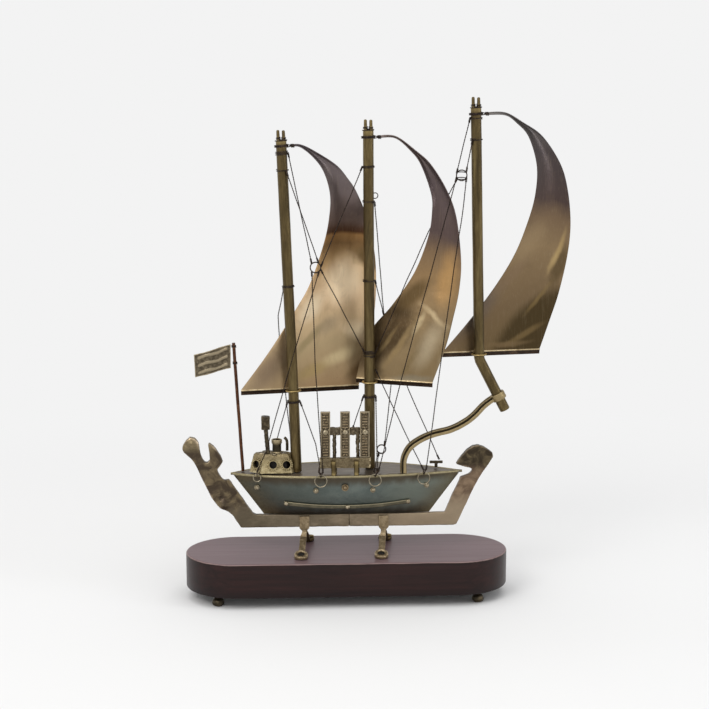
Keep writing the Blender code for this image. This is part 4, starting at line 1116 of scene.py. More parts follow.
def make_hull_fittings():
    """The domed studs, the rosette and the wound shroud rings."""
    toward_near = (0, -1, 0)
    for node in nodes_named("hull_stud_"):
        low, high = box_mm(node)
        middle = (low + high) / 2
        reach = high.y - low.y
        stud = Shape()
        stud.turned((middle.x, high.y, middle.z), [
            (2.3, 0), (2.35, 0.3), (2.2, 0.55), (1.5, 0.6), (1.55, 0.8), (1.75, 1.0), (1.8, 1.4),
            (1.55, reach * 0.9), (0.9, reach * 1.05), (0.01, reach * 1.12)], toward_near, 24)
        add_shape(f"{node}_domed", stud, "stud", [node])
    low, high = box_mm("hull_rosette")
    middle = (low + high) / 2
    rosette = Shape()
    rosette.turned((middle.x, high.y, middle.z), [
        (3.1, 0), (3.15, 0.4), (2.9, 0.85), (2.3, 0.8), (2.05, 0.45), (1.8, 0.45), (1.7, 0.9), (1.5, 1.6),
        (0.9, 2.1), (0.01, 2.25)], toward_near, 32)
    add_shape("hull_rosette_turned", rosette, "leg", ["hull_rosette"])
    for place in ("quarter", "mizzen", "main", "fore"):
        node = f"{place}_shroud_ring"
        low, high = box_mm(node)
        radius = (high.z - low.z) / 2 - 0.62
        ring = Shape()
        ring.wire(coil((low + high) / 2, (0, 1, 0), radius, 2.15, 0.45, 0.6), 0.42)
        ring.wave(0.15, 4.0)
        add_shape(f"{node}_wound", ring, "ring", [node])


# ---------------------------------------------------------------- deckhouse and flag

def cabin_ring(inset, z):
    """The deckhouse's octagon, drawn in by inset all round."""
    base_low, base_high = box_mm("wheelhouse")
    low = base_low + Vector((inset, inset * 0.8, 0))
    high = base_high - Vector((inset, inset * 0.8, 0))
    cut_x = 0.23 * (high.x - low.x)
    cut_y = 0.35 * (high.y - low.y)
    return [Vector(p) for p in (
        (low.x + cut_x, low.y, z), (high.x - cut_x * 0.5, low.y, z), (high.x, low.y + cut_y, z),
        (high.x, high.y - cut_y, z), (high.x - cut_x, high.y, z), (low.x + cut_x, high.y, z),
        (low.x, high.y - cut_y, z), (low.x, low.y + cut_y, z))]


PORTHOLE_SECTION = [(3.3, -1.1), (3.15, 0.2), (3.4, 0.75), (3.9, 0.8), (4.2, 0.4), (4.25, -1.1)]
PORTHOLE_BEADS = 16
BEAD_CIRCLE = 4.75
WALL_SLOPE = 11


def make_cabin():
    """The cast deckhouse with a dark core of painted shade behind its portholes, and their beaded rims."""
    low, high = box_mm("wheelhouse")
    add_cast("wheelhouse_cast", "wheelhouse", "cabin", 0.36, 3, [(0.2, 2.2), (0.1, 0.9)])
    # A near-black core inside the walls: painted shade seen through the portholes
    core = Shape()
    core.loft([cabin_ring(5.0, low.z + 0.6), cabin_ring(6.0, low.z + 7), cabin_ring(7.6, high.z - 3.4)])
    core.wave(0.25, 3.0)
    add_shape("wheelhouse_shade_core", core, "hollow")
    wall = cabin_ring(1.7, low.z + 7.5)
    left, right, corner = wall[0], wall[1], wall[7]
    slope = math.radians(WALL_SLOPE)
    near = Vector((0, -math.cos(slope), math.sin(slope)))
    facet = (left - corner).cross(Vector((0, 0, 1))).normalized()
    facet = (facet * math.cos(slope) + Vector((0, 0, math.sin(slope)))).normalized()
    rims = Shape()
    beads = []
    for middle, out in ((left.lerp(right, 0.4), near), (left.lerp(right, 0.87), near),
                        (corner.lerp(left, 0.5), facet)):
        middle = middle + out * 0.5
        rims.turned(middle, PORTHOLE_SECTION, out, 36, loop=True)
        turn_to_out = Vector((0, 0, 1)).rotation_difference(out).to_matrix()
        beads += [(middle + turn_to_out @ Vector((a, b, 0.05)), out, 1.0)
                  for a, b in circle(BEAD_CIRCLE, PORTHOLE_BEADS)]
    add_shape("porthole_rims", rims, "cabin")
    add_grown("porthole_beads", marked_points("porthole_beads", beads), "rivet heads", "cabin",
              {"Radius": 0.75, "Height": 0.55})


# Lumps of solder on the deckhouse's roof: x and y on the drawn deck, radius and height
ROOF_LUMPS = [(-73.5, -7.5, 3.4, 1.5), (-66.5, -4.0, 4.4, 1.7), (-55.0, -9.5, 2.4, 1.4),
              (-70.5, -2.0, 3.0, 1.3), (-62.5, -12.0, 2.2, 1.1)]


def make_cabin_top():
    """The funnel, the lever, the hook and the lumps of solder on the roof."""
    low, high = box_mm("funnel")
    middle = (low + high) / 2
    rim = (high.x - low.x) / 2
    tall = high.z - low.z
    funnel = Shape()
    funnel.turned((middle.x, middle.y, low.z), [
        (0.01, 0), (rim * 1.0, 0), (rim * 0.96, 0.8), (rim * 0.84, 1.3), (rim * 0.83, tall * 0.6),
        (rim * 0.86, tall * 0.66), (rim * 0.98, tall * 0.72), (rim, tall * 0.78), (rim, tall * 0.96),
        (rim * 0.96, tall), (rim * 0.78, tall), (rim * 0.74, tall * 0.95), (rim * 0.7, tall * 0.5),
        (0.01, tall * 0.45)], sides=40)
    funnel.wave(0.16, 3.0)
    add_shape("funnel_turned", funnel, "beam", ["funnel"], wear=0.9)
    add_cast("signal_lever_cast", "signal_lever", "bronze", 0.28, 3, [(0.3, 2.4), (0.1, 0.9)])
    add_cast("roof_hook_cast", "roof_hook", "bronze", 0.24, 2, [(0.12, 1.4)])
    roof = Shape()
    for x, y, wide, tall in ROOF_LUMPS:
        place = ship(x, y, 0)
        place.z = box_mm("wheelhouse")[1].z - 0.5
        roof.turned(place, [(wide, 0), (wide, tall * 0.5), (wide * 0.86, tall * 0.85), (wide * 0.5, tall),
                            (0.01, tall * 1.05)], sides=20)
    roof.wave(0.45, 2.6)
    add_shape("roof_solder", roof, "rack", wear=0.9)


POLE_RADIUS = 1.5
FLAG_COLUMNS = 84
FLAG_ROWS = 44
FLAG_LENGTH = 31.5
FLAG_STRIPES = 3.0


def flag_side(side, top, lean, marks):
    """The points of one side of the flag, hung from the pole's top, with raised wavy stripes. Their
    heights go to the marks."""
    grid = []
    for i in range(FLAG_COLUMNS + 1):
        share = i / FLAG_COLUMNS
        reach = POLE_RADIUS + GAP + 0.8 + FLAG_LENGTH * share
        corner = top - lean * (1.2 + 0.5 * share)
        corner += Vector((-reach, 1.6 * math.sin(7.5 * share) - 0.2, -8.6 * share))
        for k in range(FLAG_ROWS + 1):
            drop = k / FLAG_ROWS
            wave = 0.028 * math.sin(share * 11.0 + 0.6)
            stripe = 0.5 + 0.5 * math.cos((drop + wave) * 2 * math.pi * FLAG_STRIPES + math.pi)
            border = min(share, 1 - share, drop, 1 - drop)
            lift = 0.55 * (stripe ** 1.6) * min(1, max(0, border - 0.05) * 14)
            lift += 0.35 * max(0, 1 - border / 0.04)
            marks.append(min(1.0, lift * 2.0))
            bulge = side * (0.35 + lift) if border > 0.004 else side * 0.3
            grid.append(corner + Vector((0.9 * share * drop, bulge, (share - 20.5) * drop)))
    return grid


def make_flag():
    """The pole and the embossed flag, whose two sides are joined round their rim, with its ties."""
    low, high = box_mm("flagpole")
    foot = Vector((high.x - POLE_RADIUS, high.y - POLE_RADIUS, low.z))
    top = Vector((low.x + POLE_RADIUS, low.y + POLE_RADIUS, high.z))
    pole = Shape()
    path = [foot.lerp(top, i / 24) for i in range(25)]
    pole.wire([waved(p, 0.25, 26.0, 3.0) if 0 < i < 24 else p for i, p in enumerate(path)], 1.42, 16)
    add_shape("flagpole_rod", pole, "flagpole", ["flagpole"])
    lean = (top - foot).normalized()
    sheet = Shape()
    line = FLAG_ROWS + 1
    for side in (-1, 1):
        base = len(sheet.points)
        sheet.points += flag_side(side, top, lean, sheet.marks)
        for i in range(FLAG_COLUMNS):
            for k in range(FLAG_ROWS):
                a = base + i * line + k
                sheet.faces.append((a, a + 1, a + line + 1, a + line))
    offset = (FLAG_COLUMNS + 1) * line
    rim = [(i, 0) for i in range(FLAG_COLUMNS)] + [(FLAG_COLUMNS, k) for k in range(FLAG_ROWS)]
    rim += [(i, FLAG_ROWS) for i in range(FLAG_COLUMNS, 0, -1)] + [(0, k) for k in range(FLAG_ROWS, 0, -1)]
    corners = [i * line + k for i, k in rim]
    for a, b in zip(corners, corners[1:] + corners[:1]):
        sheet.faces.append((a, b, offset + b, offset + a))
    sheet.wave(0.12, 3.0)
    mesh = sheet.mesh("embossed_flag", 0.0005)
    mark_wear(mesh, 0.4)
    add_piece("embossed_flag", mesh, "rack", ["flag"])
    ties = Shape()
    for drop in (3.0, 17.5):
        ties.wire(coil(top - lean * drop, lean, 1.85, 2.5, 0.8), 0.32)
    add_shape("flag_ties", ties, "wire")


# ---------------------------------------------------------------- column rack

COLUMN_RIM = 1.15
# The ribs of one row of a rack column: x from its middle, direction and length
RIB_ROWS = [
    [(0, (1, 0, 0), 4.6)],
    [(-1.2, (1, 0, 0.3), 2.0), (1.3, (1, 0, -0.3), 1.7)],
    [(-1.5, (0.25, 0, 1), 1.5), (0.9, (1, 0, 0), 2.4)],
    [(0, (1, 0, 0), 4.6)],
    [(-0.8, (1, 0, 0), 2.6), (1.6, (0.2, 0, 1), 1.5)],
]


def make_rack_beam():
    """The beam with its raised lips, and the two pegs in front of it."""
    add_cast("rack_beam_cast", "rack_beam", "beam", 0.34, 3, [(0.28, 2.4), (0.12, 0.9)])
    low, high = box_mm("rack_beam")
    lips = Shape()
    for x in (low.x + 0.6, high.x - 0.6):
        for z, tall in ((high.z - 1.4, 2.6), (high.z - 6.5, 1.6)):
            lips.sweep([Vector((x, low.y - 0.5, z)), Vector((x, high.y + 0.2, z))],
                       rounded_rectangle(1.5, tall, 0.5), Vector((1, 0, 0)))
    for z in (high.z - 0.9, low.z + 6.6):
        lips.sweep([Vector((low.x + 0.5 + (high.x - low.x - 1) * i / 40, low.y - 0.15, z))
                    for i in range(41)], rounded_rectangle(1.1, 1.0, 0.35), Vector((0, 0, 1)))
    lips.wave(0.22, 2.2)
    pegs = Shape()
    for share in (0.27, 0.72):
        x = low.x + (high.x - low.x) * share
        pegs.wire([Vector((x, low.y - 1.3, low.z + 12.0 * i / 8)) for i in range(9)], 2.0, 20)
    pegs.wave(0.12, 2.5)
    add_shape("rack_pegs", pegs, "mast", wear=0.7)
    add_shape("rack_beam_lips", lips, "beam", wear=0.8)


def column_outline(middle, wide, tall, y):
    """Points round an upright rectangle, close together along its long sides."""
    outline = []
    corners = ((-1, -1), (1, -1), (1, 1), (-1, 1))
    for (a, b), (c, d) in zip(corners, corners[1:] + corners[:1]):
        start = Vector((middle.x + a * wide, y, middle.z + b * tall))
        end = Vector((middle.x + c * wide, y, middle.z + d * tall))
        count = 6 if b == d else 30
        outline += [start.lerp(end, i / count) for i in range(count)]
    return outline


def make_rack_columns():
    """The framed columns, with rows of short ribs in their sunk faces."""
    ribs = []
    for number in (1, 2, 3):
        node = f"rack_column_{number}"
        low, high = box_mm(node)
        middle = (low + high) / 2
        tall = high.z - low.z
        column = Shape()
        column.loft([
            column_outline(middle, (high.x - low.x) / 2 - inset, tall / 2 - inset, y)
            for y, inset in ((high.y, 0.2), (high.y - 0.2, 0), (low.y + 0.25, 0), (low.y, 0.25),
                             (low.y, COLUMN_RIM - 0.15), (low.y + 0.95, COLUMN_RIM + 0.15))])
        column.wave(0.16, 1.6, number)
        add_shape(f"{node}_framed", column, "rack", [node], wear=0.6)
        step = bpy.context.scene.ship_sizes.rib_pitch / MM
        for i in range(int((tall - 4) / step) + 1):
            z = low.z + 2.3 + i * step
            ribs += [(Vector((middle.x + x, low.y + 0.62, z)), out, length)
                     for x, out, length in RIB_ROWS[(i * 7 + number * 3) % 5]]
    add_grown("column_ribs", marked_points("column_ribs", ribs), "ribs", "leg",
              {"Thickness": 0.58}, sharp=60)


def make_rack_crossbar():
    """The bar across the columns, with a ring of small domes round each stud and scrolls between."""
    add_cast("rack_crossbar_cast", "rack_crossbar", "rack", 0.32, 2, [(0.5, 1.9), (0.25, 0.8)])
    scrolls = Shape()
    y = box_mm("rack_crossbar")[1].y - 2.0
    front = box_mm("rack_column_1")[0].y
    stud_low, stud_high = box_mm("rack_stud_2")
    level = (stud_low.z + stud_high.z) / 2
    pitch = middle_of("rack_column_2").x - middle_of("rack_column_1").x
    for number in (1, 2, 3):
        x = middle_of(f"rack_stud_{number}").x
        for turn in range(0, 360, 60):
            angle = math.radians(turn + 30)
            place = Vector((x + 3.3 * math.cos(angle), front + 0.15, level + 3.3 * math.sin(angle)))
            scrolls.turned(place, [(0.85, -0.3), (0.8, 0.25), (0.5, 0.5), (0.01, 0.6)], (0, -1, 0), 12)
    for number in (1, 2):
        x = middle_of(f"rack_column_{number}").x + pitch / 2
        for shift, rise in ((-2.0, 1.6), (2.0, 1.6), (-2.0, -1.6), (2.0, -1.6), (0, 0)):
            path = coil((x + shift * 0.8, y - 0.15, level + rise), (0, 1, 0), 0.95, 0.85, 0.0, shift + rise)
            scrolls.wire(path, 0.36, 6)
    scrolls.wave(0.12, 1.5)
    add_shape("crossbar_scrolls", scrolls, "rack", wear=0.5)


def make_rack_studs():
    """The domed stud on each column."""
    for number in (1, 2, 3):
        node = f"rack_stud_{number}"
        low, high = box_mm(node)
        middle = (low + high) / 2
        stud = Shape()
        stud.turned((middle.x, high.y, middle.z), [
            (2.7, 0), (2.75, 0.3), (2.6, 0.75), (2.45, 1.25), (2.05, 1.85), (1.4, 2.3), (0.7, 2.5),
            (0.01, 2.58)], (0, -1, 0), 28)
        stud.wave(0.08, 1.6, number)
        add_shape(f"{node}_domed", stud, "stud", [node])


# ---------------------------------------------------------------- bowsprit and masts

def axis_of(mast):
    """A place on a sail's axis, where its mast bends, and the direction of the mast above it."""
    joint = next(one for one in frame["joints"] if one["name"] == f"{mast}_sail_hinge")
    return Vector(joint["pos_m"]) / MM, Vector(joint["axis"]).normalized()


PRONG_LENGTH = 9.0
FORE_FOOT = (137.4, 0.0, 50.5)
MAST_FEET = {"mizzen": (-43.6, -8.2), "main": (20.2, 0.0)}


def mast_path(mast):
    """The foot, the bend and the head of a mast's middle line."""
    bend, up = axis_of(mast)
    _, high = box_mm(f"{mast}_mast")
    head = bend + up * ((high.z - PRONG_LENGTH * up.z - bend.z) / up.z)
    foot = ship(*FORE_FOOT) if mast == "fore" else on_deck(*MAST_FEET[mast])
    return foot, bend, head


BOWSPRIT_ROUTE = [(48.3, -16.6, 11.5), (53, -15, 21), (62, -13, 27.5), (74, -10.5, 32.1), (90, -7.5, 35.5),
                  (103, -5, 41.5), (111, -3.5, 47.5), (118, -2, 54.5), (125, -0.6, 59.5)]


def make_bowsprit():
    """A channel bar whose groove faces up and near and is painted dark as shade, with an eye round the fore
    mast's foot.
    """
    foot, bend = mast_path("fore")[:2]
    stub = (foot - bend).normalized()
    eye = bend.lerp(foot, 0.733)
    path = spline([on_deck(48, -17), *(ship(*place) for place in BOWSPRIT_ROUTE), eye], 10)[:-6]
    section = [(3.3, -2.6), (-2.9, -2.6), (-3.5, -2.2), (-3.6, -0.3), (-3.2, 0.15), (-1.6, 0.3),
               (-1.5, 1.5), (-2.6, 1.7), (-2.8, 2.3), (-2.3, 2.6), (-1.1, 2.55), (-0.6, 1.2),
               (1.4, 1.0), (1.9, 2.5), (3.0, 2.6), (3.6, 2.1), (3.6, -2.2)]
    bar = Shape()
    bar.sweep(path, section[::-1], Vector((0, 1, 0)))
    # The groove's points are marked down, which paints shade into the groove
    bar.marks = [-1.0 if i % len(section) in (4, 5, 10, 11) else 0.15 for i in range(len(bar.points))]
    bar.turned(eye, [(4.85, -3.0), (4.8, 0), (4.85, 3.0), (6.2, 3.0), (6.5, 2.4), (6.45, -2.4), (6.2, -3.0)],
               stub, 40, loop=True)
    bar.wave(0.14, 4.5)
    add_shape("bowsprit_channel", bar, "channel", ["bowsprit_bar"], wear=1.0)


PRONG_SPREAD = MAST_RADIUS * 0.51


def make_mast(mast):
    """A round bar, bent where its sail's axis starts, with two prongs at its head."""
    foot, bend, head = mast_path(mast)
    below = (bend - foot).normalized()
    up = (head - bend).normalized()
    path = evenly(foot, bend - below * 1.6, 5.0) + evenly(bend + up * 1.6, head - up * 0.5, 5.0)
    rings = []
    for i, place in enumerate(path):
        across, over = square_to(path, i, Vector((0, 1, 0)))
        radius = MAST_RADIUS - (0.35 if i in (0, len(path) - 1) else 0.0)
        rings.append([place + across * a + over * b for a, b in circle(radius, 40)])
    rings.insert(1, [p + below * 0.4 + (p - foot) * 0.08 for p in rings[0]])
    rings.insert(-1, [p - up * 0.1 + (p - head) * 0.08 for p in rings[-1]])
    pole = Shape()
    pole.loft(rings)
    for side in (-1, 1):
        tall = PRONG_LENGTH * (0.96 if side < 0 else 0.93)
        prong = [(1.35, -4), (1.45, 1), (1.4, tall * 0.5), (1.3, tall - 0.9), (1.1, tall - 0.4),
                 (0.6, tall), (0.01, tall)]
        pole.turned(head + Vector((side * PRONG_SPREAD, 0, 0)), prong, up, 16)
    pole.wave(0.10, 12.0, 1.0)
    add_shape(f"{mast}_mast_bar", pole, "mast", [f"{mast}_mast"], wear=2.0)


def make_spars():
    add_cast("deck_cleat_cast", "deck_cleat", "bronze", 0.25, 2, [(0.15, 1.6)])
    make_bowsprit()
    for mast in MASTS:
        make_mast(mast)


# ---------------------------------------------------------------- sails

# Each sail's two edges below its tip, down to the foot. The y is counted from the mast's far side.
SAIL_TIPS = {"mizzen": 278.1, "main": 284.9, "fore": 304.1}
SAIL_TIP_WIDTH = 2.0
SAIL_TIP_REACH = MAST_RADIUS + 0.5 + 1.2 + 0.8
SAIL_BELLY = 4.0
SAIL_THICKNESS = 0.9
HEM_DROP = 4.6
HEM_SET_BACK = 1.6
SAILS = {
    "mizzen": {
        "left": [(-39.0, -5.5, 277.9), (-27.3, -3.5, 268.5),
                 (-18.9, -2.5, 256.5), (-13.8, -1.5, 238.9), (-14.0, -1.5, 221.3),
                 (-18.4, -1.5, 197.9), (-30.4, -1.7, 162.5), (-43.3, -2.3, 139.1),
                 (-66.5, -7.5, 103.5), (-90.6, -17.2, 72.5)],
        "right": [(-38.6, -4.5, 279.7), (-27.0, -2.5, 274.2),
                  (-8.5, 1.5, 262.1), (1.8, 4.5, 250.0), (9.6, 7.5, 237.8), (19.6, 15.5, 212.5),
                  (26.3, 22.5, 177.5), (26.0, 23.5, 137.5), (19.5, 20.5, 103.5), (11.6, 14.1, 70.5)],
    },
    "main": {
        "left": [(41.0, -4.5, 285.1), (54.5, -5.5, 274.1), (63.1, -6.0, 262.3),
                 (71.7, -6.5, 238.5), (72.6, -6.5, 222.5), (69.5, -3.5, 200.5), (58.5, 3.5, 169.5),
                 (39.9, 8.5, 140.8), (19.0, 9.5, 114.5), (9.0, 6.9, 78.0)],
        "right": [(41.3, -5.0, 286.5), (58.6, -6.5, 274.2), (71.3, -7.5, 262.5),
                  (84.6, -9.5, 241.0), (92.6, -11.0, 218.5), (96.8, -12.5, 182.5),
                  (95.3, -13.5, 156.1), (90.3, -14.3, 132.2), (84.4, -14.5, 108.2),
                  (73.5, -12.9, 76.9)],
    },
    "fore": {
        "left": [(133.9, -3.5, 304.0), (144.3, -2.5, 297.2),
                 (154.7, -2.5, 285.4), (161.9, -2.5, 261.7), (161.3, -2.0, 238.1),
                 (155.6, -1.0, 214.3), (144.0, 1.5, 183.5), (126.0, 4.0, 153.5), (104.0, 3.5, 124.5),
                 (82.8, -4.1, 101.5)],
        "right": [(134.1, -1.5, 305.9), (150.0, 1.5, 297.3),
                  (167.7, 4.5, 284.9), (184.4, 9.5, 260.7), (191.6, 12.5, 236.4),
                  (194.6, 15.5, 208.5), (192.7, 18.0, 181.5), (186.4, 19.0, 150.4),
                  (178.7, 18.5, 126.1), (169.9, 17.5, 100.1)],
    },
}


def sail_edge(mast, side):
    """The points down one edge of a sail, from its tip to its foot."""
    point, up = axis_of(mast)
    rise = SAIL_TIPS[mast] + (SAIL_TIP_WIDTH if side == "right" else 0)
    tip = point + up * ((DECK_TOP + rise - point.z) / up.z)
    tip.x += SAIL_TIP_REACH
    places = [ship(x, 0, z) + Vector((0, y + MAST_RADIUS, 0)) for x, y, z in SAILS[mast][side]]
    return spline([tip, *places], 8)


SAIL_COLUMNS = 26
ROLL_ROWS = ((-0.45, 0.25), (-0.55, 0.75), (-0.2, 1.3))


def sail_rows(left, right):
    """The bellied sheet's points between its edges, a little uneven but calm near its foot and tip."""
    rows = []
    for row, (start, end) in enumerate(zip(left, right)):
        down = row / (len(left) - 1)
        bow = SAIL_BELLY * math.sin(math.pi * down)
        line = []
        for column in range(SAIL_COLUMNS + 1):
            a = column / SAIL_COLUMNS
            place = start.lerp(end, a) + Vector((0, bow * 4 * a * (1 - a), 0))
            rumple = noise.noise(place / 26) * 0.7 + noise.noise(place / 9) * 0.12
            calm = min(1.0, (end - start).length / 60) * (1 - 0.75 * down ** 6)
            line.append(place + Vector((0, rumple * calm, 0)))
        rows.append(line)
    return rows


def make_sail_sheet(mast, left, right):
    """The thick sheet. Below it come a rolled edge painted bright as a highlight and a hem set back from it,
    painted dark as shade.
    """
    name = f"{mast}_sail_sheet"
    rows = sail_rows(left, right)
    foot = rows[-1]
    sheet_rows = len(rows)
    rows += [[p + Vector((0, back, -drop)) for p in foot] for back, drop in ROLL_ROWS]
    for share in (0.45, 0.72, 1.0):
        rows.append([p + Vector((0, HEM_SET_BACK * share + 0.18 * noise.noise(p / 7), -HEM_DROP * share))
                     for p in foot])
    wide = SAIL_COLUMNS + 1
    faces = []
    for row in range(len(rows) - 1):
        for corner in range(row * wide, row * wide + SAIL_COLUMNS):
            faces.append((corner, corner + 1, corner + wide + 1, corner + wide))
    mesh = bpy.data.meshes.new(name)
    mesh.from_pydata([p * MM for line in rows for p in line], [], faces)
    for number, face in enumerate(mesh.polygons):
        row = number // SAIL_COLUMNS
        face.material_index = 0 if row < sheet_rows - 1 else 1 if row < sheet_rows + 1 else 2
    holder = placed("sheet", mesh)
    thick = holder.modifiers.new("sheet", "SOLIDIFY")
    thick.thickness = (SAIL_THICKNESS - 0.2) * MM
    thick.offset = 0
    thick.material_offset_rim = 0
    soft = holder.modifiers.new("edge", "BEVEL")
    soft.width = 0.12 * MM
    soft.segments = 2
    soft.limit_method = "ANGLE"
    soft.angle_limit = math.radians(50)
    made = applied(holder, name)
    kinds = numbers(made.polygons, "material_index", 1).copy()
    # The rim finish paints a highlight on the rolled edge and the hem finish paints shade on the hem
    piece = add_piece(name, made, [f"{mast}_sail", "rim", "hem"], [f"{mast}_sail"],
                      f"{mast}_sail_swivel", 50)
    piece.data.polygons.foreach_set("material_index", kinds)
    piece.data.update()


HEAD_LOOP_RADIUS = 5.62


def make_sail_holders(mast, tip):
    """The strap round the mast at the sail's foot, and the wire loops at its head."""
    body = f"{mast}_sail_swivel"
    up = axis_of(mast)[1]
    strap = Shape()
    strap.turned(middle_of(f"{mast}_boom_collar"), [
        (5.05, -0.9), (5.0, 0.2), (5.1, 0.9), (6.5, 0.95), (6.85, 0.6), (6.9, 0.1), (6.5, -0.3),
        (5.8, -0.5), (5.5, -0.9)], up, 40, loop=True)
    strap.wave(0.06, 2.0)
    add_shape(f"{mast}_collar_strap", strap, "brass", [f"{mast}_boom_collar"], 0.9, body)
    head = middle_of(f"{mast}_head_loop")
    shift = Vector((0.4, 0, 0))
    loop = Shape()
    loop.wire(coil(head, up, HEAD_LOOP_RADIUS, 2.2, 1.1, 0.3), 0.52)
    for rise in (-0.5, 0.5):
        start = head + Vector((5.6, 0, rise * 1.2))
        loop.wire(spline([start, start.lerp(tip, 0.5) + Vector((0, -0.5, rise)), tip + shift * 5], 6), 0.42)
    loop.wire(coil(tip + shift * 6, (1, 0, 0), 1.35, 3.2, 0.95, 1.0), 0.4)
    add_shape(f"{mast}_head_wire", loop, "wire", [f"{mast}_head_loop"], body=body)


def make_sails():
    for mast in MASTS:
        left = sail_edge(mast, "left")
        right = sail_edge(mast, "right")
        make_sail_sheet(mast, left, right)
        make_sail_holders(mast, left[0].lerp(right[0], 0.5))


# ---------------------------------------------------------------- rigging

WIRE_RADIUS = 0.5
RING_WIRE = 0.6


def mast_at(mast, z):
    """The middle of a mast at a height, and the way the mast runs there."""
    foot, bend, head = mast_path(mast)
    low, high = (foot, bend) if DECK_TOP + z < bend.z else (bend, head)
    return low.lerp(high, (DECK_TOP + z - low.z) / (high.z - low.z)), high - low


def beside_mast(mast, z, bearing):
    """Where a wire meets a mast at a height, at a bearing: 0 is ahead and 90 the far side."""
    centre, _ = mast_at(mast, z)
    turn = math.radians(bearing)
    return centre + Vector((math.cos(turn), math.sin(turn), 0)) * (MAST_RADIUS + GAP + WIRE_RADIUS)


def beside_rack(end, gap, y, z):
    """A place off one end of the rack's beam: 1 is the end toward the bow."""
    low, high = box_mm("rack_beam")
    place = ship(0, y, z)
    place.x = high.x + gap if end > 0 else low.x - gap
    return place


def above_ring(place, x=0.0):
    """A place over a shroud ring, moved along by x."""
    middle = middle_of(f"{place}_shroud_ring")
    return Vector((middle.x + x, middle.y, box_mm(f"{place}_shroud_ring")[1].z + 1.3))


def mast_wrap(mast, z, turns=2.6):
    """A wire wound a few times round a mast at a height."""
    centre, way = mast_at(mast, z)
    return coil(centre, way, MAST_RADIUS + 0.62, turns, 1.15, z)


def host_of(name, routes):
    """A host mesh of edges that follow the routes, eased a little off straight between their ends."""
    points = []
    edges = []
    for number, route in enumerate(routes):
        base = len(points)
        for k in range(len(route) - 1):
            run = evenly(route[k], route[k + 1], 4.0)
            for i, place in enumerate(run[:-1] if k < len(route) - 2 else run):
                calm = math.sin(math.pi * i / max(1, len(run) - 1))
                points.append(waved(place, 0.35, 22.0, number * 3.1) * calm + Vector(place) * (1 - calm))
        edges += [(i, i + 1) for i in range(base, len(points) - 1)]
    mesh = bpy.data.meshes.new(name)
    mesh.from_pydata([p * MM for p in points], edges, [])
    return mesh


def knot(place, toward):
    """A few tight turns where a wire is twisted back on itself."""
    ahead = (Vector(toward) - Vector(place)).normalized()
    return coil(Vector(place) + ahead * 2.2, ahead, 0.62, 4.5, 0.95)


def make_rigging_piece(node, stays, wraps, rings=()):
    """One CAD node's wires: twisted stays, with plain wire rings, wraps and knots."""
    sizes = bpy.context.scene.ship_sizes
    strand = sizes.strand_radius / MM
    name = f"{node}_stays"
    add_grown(name, host_of(name, stays), "twisted wire", "wire", {
        "Strand Radius": strand, "Strand Offset": strand * 0.86, "Pitch": sizes.twist_pitch / MM,
        "Step": 0.55}, [node], sharp=80)
    bound = Shape()
    for path in wraps:
        bound.wire(path, 0.42, 7)
    for centre, axis, radius in rings:
        bound.wire(coil(centre, axis, radius, 2.3, 0.8, 1.0), 0.5, 8)
    for stay in stays:
        bound.wire(knot(stay[0], stay[1]), 0.36, 6)
        bound.wire(knot(stay[-1], stay[-2]), 0.36, 6)
    add_shape(f"{node}_bindings", bound, "wire")


def hook(place, x=0.0):
    """A wire hook from a stay's end down through a shroud ring."""
    low, high = box_mm(f"{place}_shroud_ring")
    middle = (low + high) / 2
    top = above_ring(place, x)
    return spline([top, Vector((middle.x + x * 0.5, low.y - 0.5, high.z)),
                   Vector((middle.x + x * 0.2, low.y - 0.9, high.z - 1.6)),
                   Vector((middle.x, middle.y, high.z - 2.6)),
                   Vector((middle.x - x * 0.2, high.y + 0.25, high.z - 1.4)),
                   Vector((middle.x, middle.y + 0.3, high.z + 0.9)), top], 4)


def offsets_from(centre):
    """A function that gives the place moved by x and z from a centre."""
    return lambda x, z: centre + Vector((x, 0, z))


TOWARD_FAR = (0, 1, 0)


def make_mizzen_web():
    web = ship(-26.8, -13.0, 177.4)
    at_web = offsets_from(web)
    make_rigging_piece("mizzen_shroud_web", [
        [beside_mast("mizzen", 273.5, 356), at_web(-3.2, 3.2)],
        [beside_mast("mizzen", 258.5, 305), at_web(2.6, 3.7)],
        [beside_mast("main", 261.5, 196), ship(7.2, -3.5, 246.5), at_web(4.5, 0.6)],
        [at_web(4.2, -1.6), beside_mast("main", 102.5, 213)],
        [at_web(-3.2, -3.2), beside_rack(-1, 3.4, -20, 92.5), above_ring("mizzen", 1.8)],
        [at_web(3.0, -3.4), ship(-46, -14.8, 102.5), ship(-70, -18.6, 19.5), above_ring("quarter")],
    ], [mast_wrap("mizzen", 273.0), mast_wrap("mizzen", 258.5, 1.4), mast_wrap("main", 261.0, 1.4),
        mast_wrap("main", 102.0), hook("mizzen", 1.8), hook("quarter")], [(web, TOWARD_FAR, 4.5)])


def make_topmast_stay():
    small = ship(29.5, -10, 19.0)
    tie = ship(33.2, 18.5, 131.5)
    make_rigging_piece("main_topmast_stay", [
        [beside_mast("main", 231.5, 15), tie, ship(39.5, 15.5, 70.5), small + Vector((2.6, 0, 2.7))],
        [beside_mast("main", 164.5, 15), tie],
        [tie, ship(54, 9.5, 67.5), ship(80.6, 1.4, 6.5)],
        [small + Vector((-2.3, 0, -3.0)), above_ring("main", 1.5)],
    ], [mast_wrap("main", 231.5, 1.6), mast_wrap("main", 164.0, 1.6), hook("main", 1.5),
        coil(beside_mast("main", 236.5, 10) + Vector((0.4, 0, 0)), TOWARD_FAR, 2.4, 1.2, 0.5, 1.5)],
        [(small, TOWARD_FAR, 3.8)])


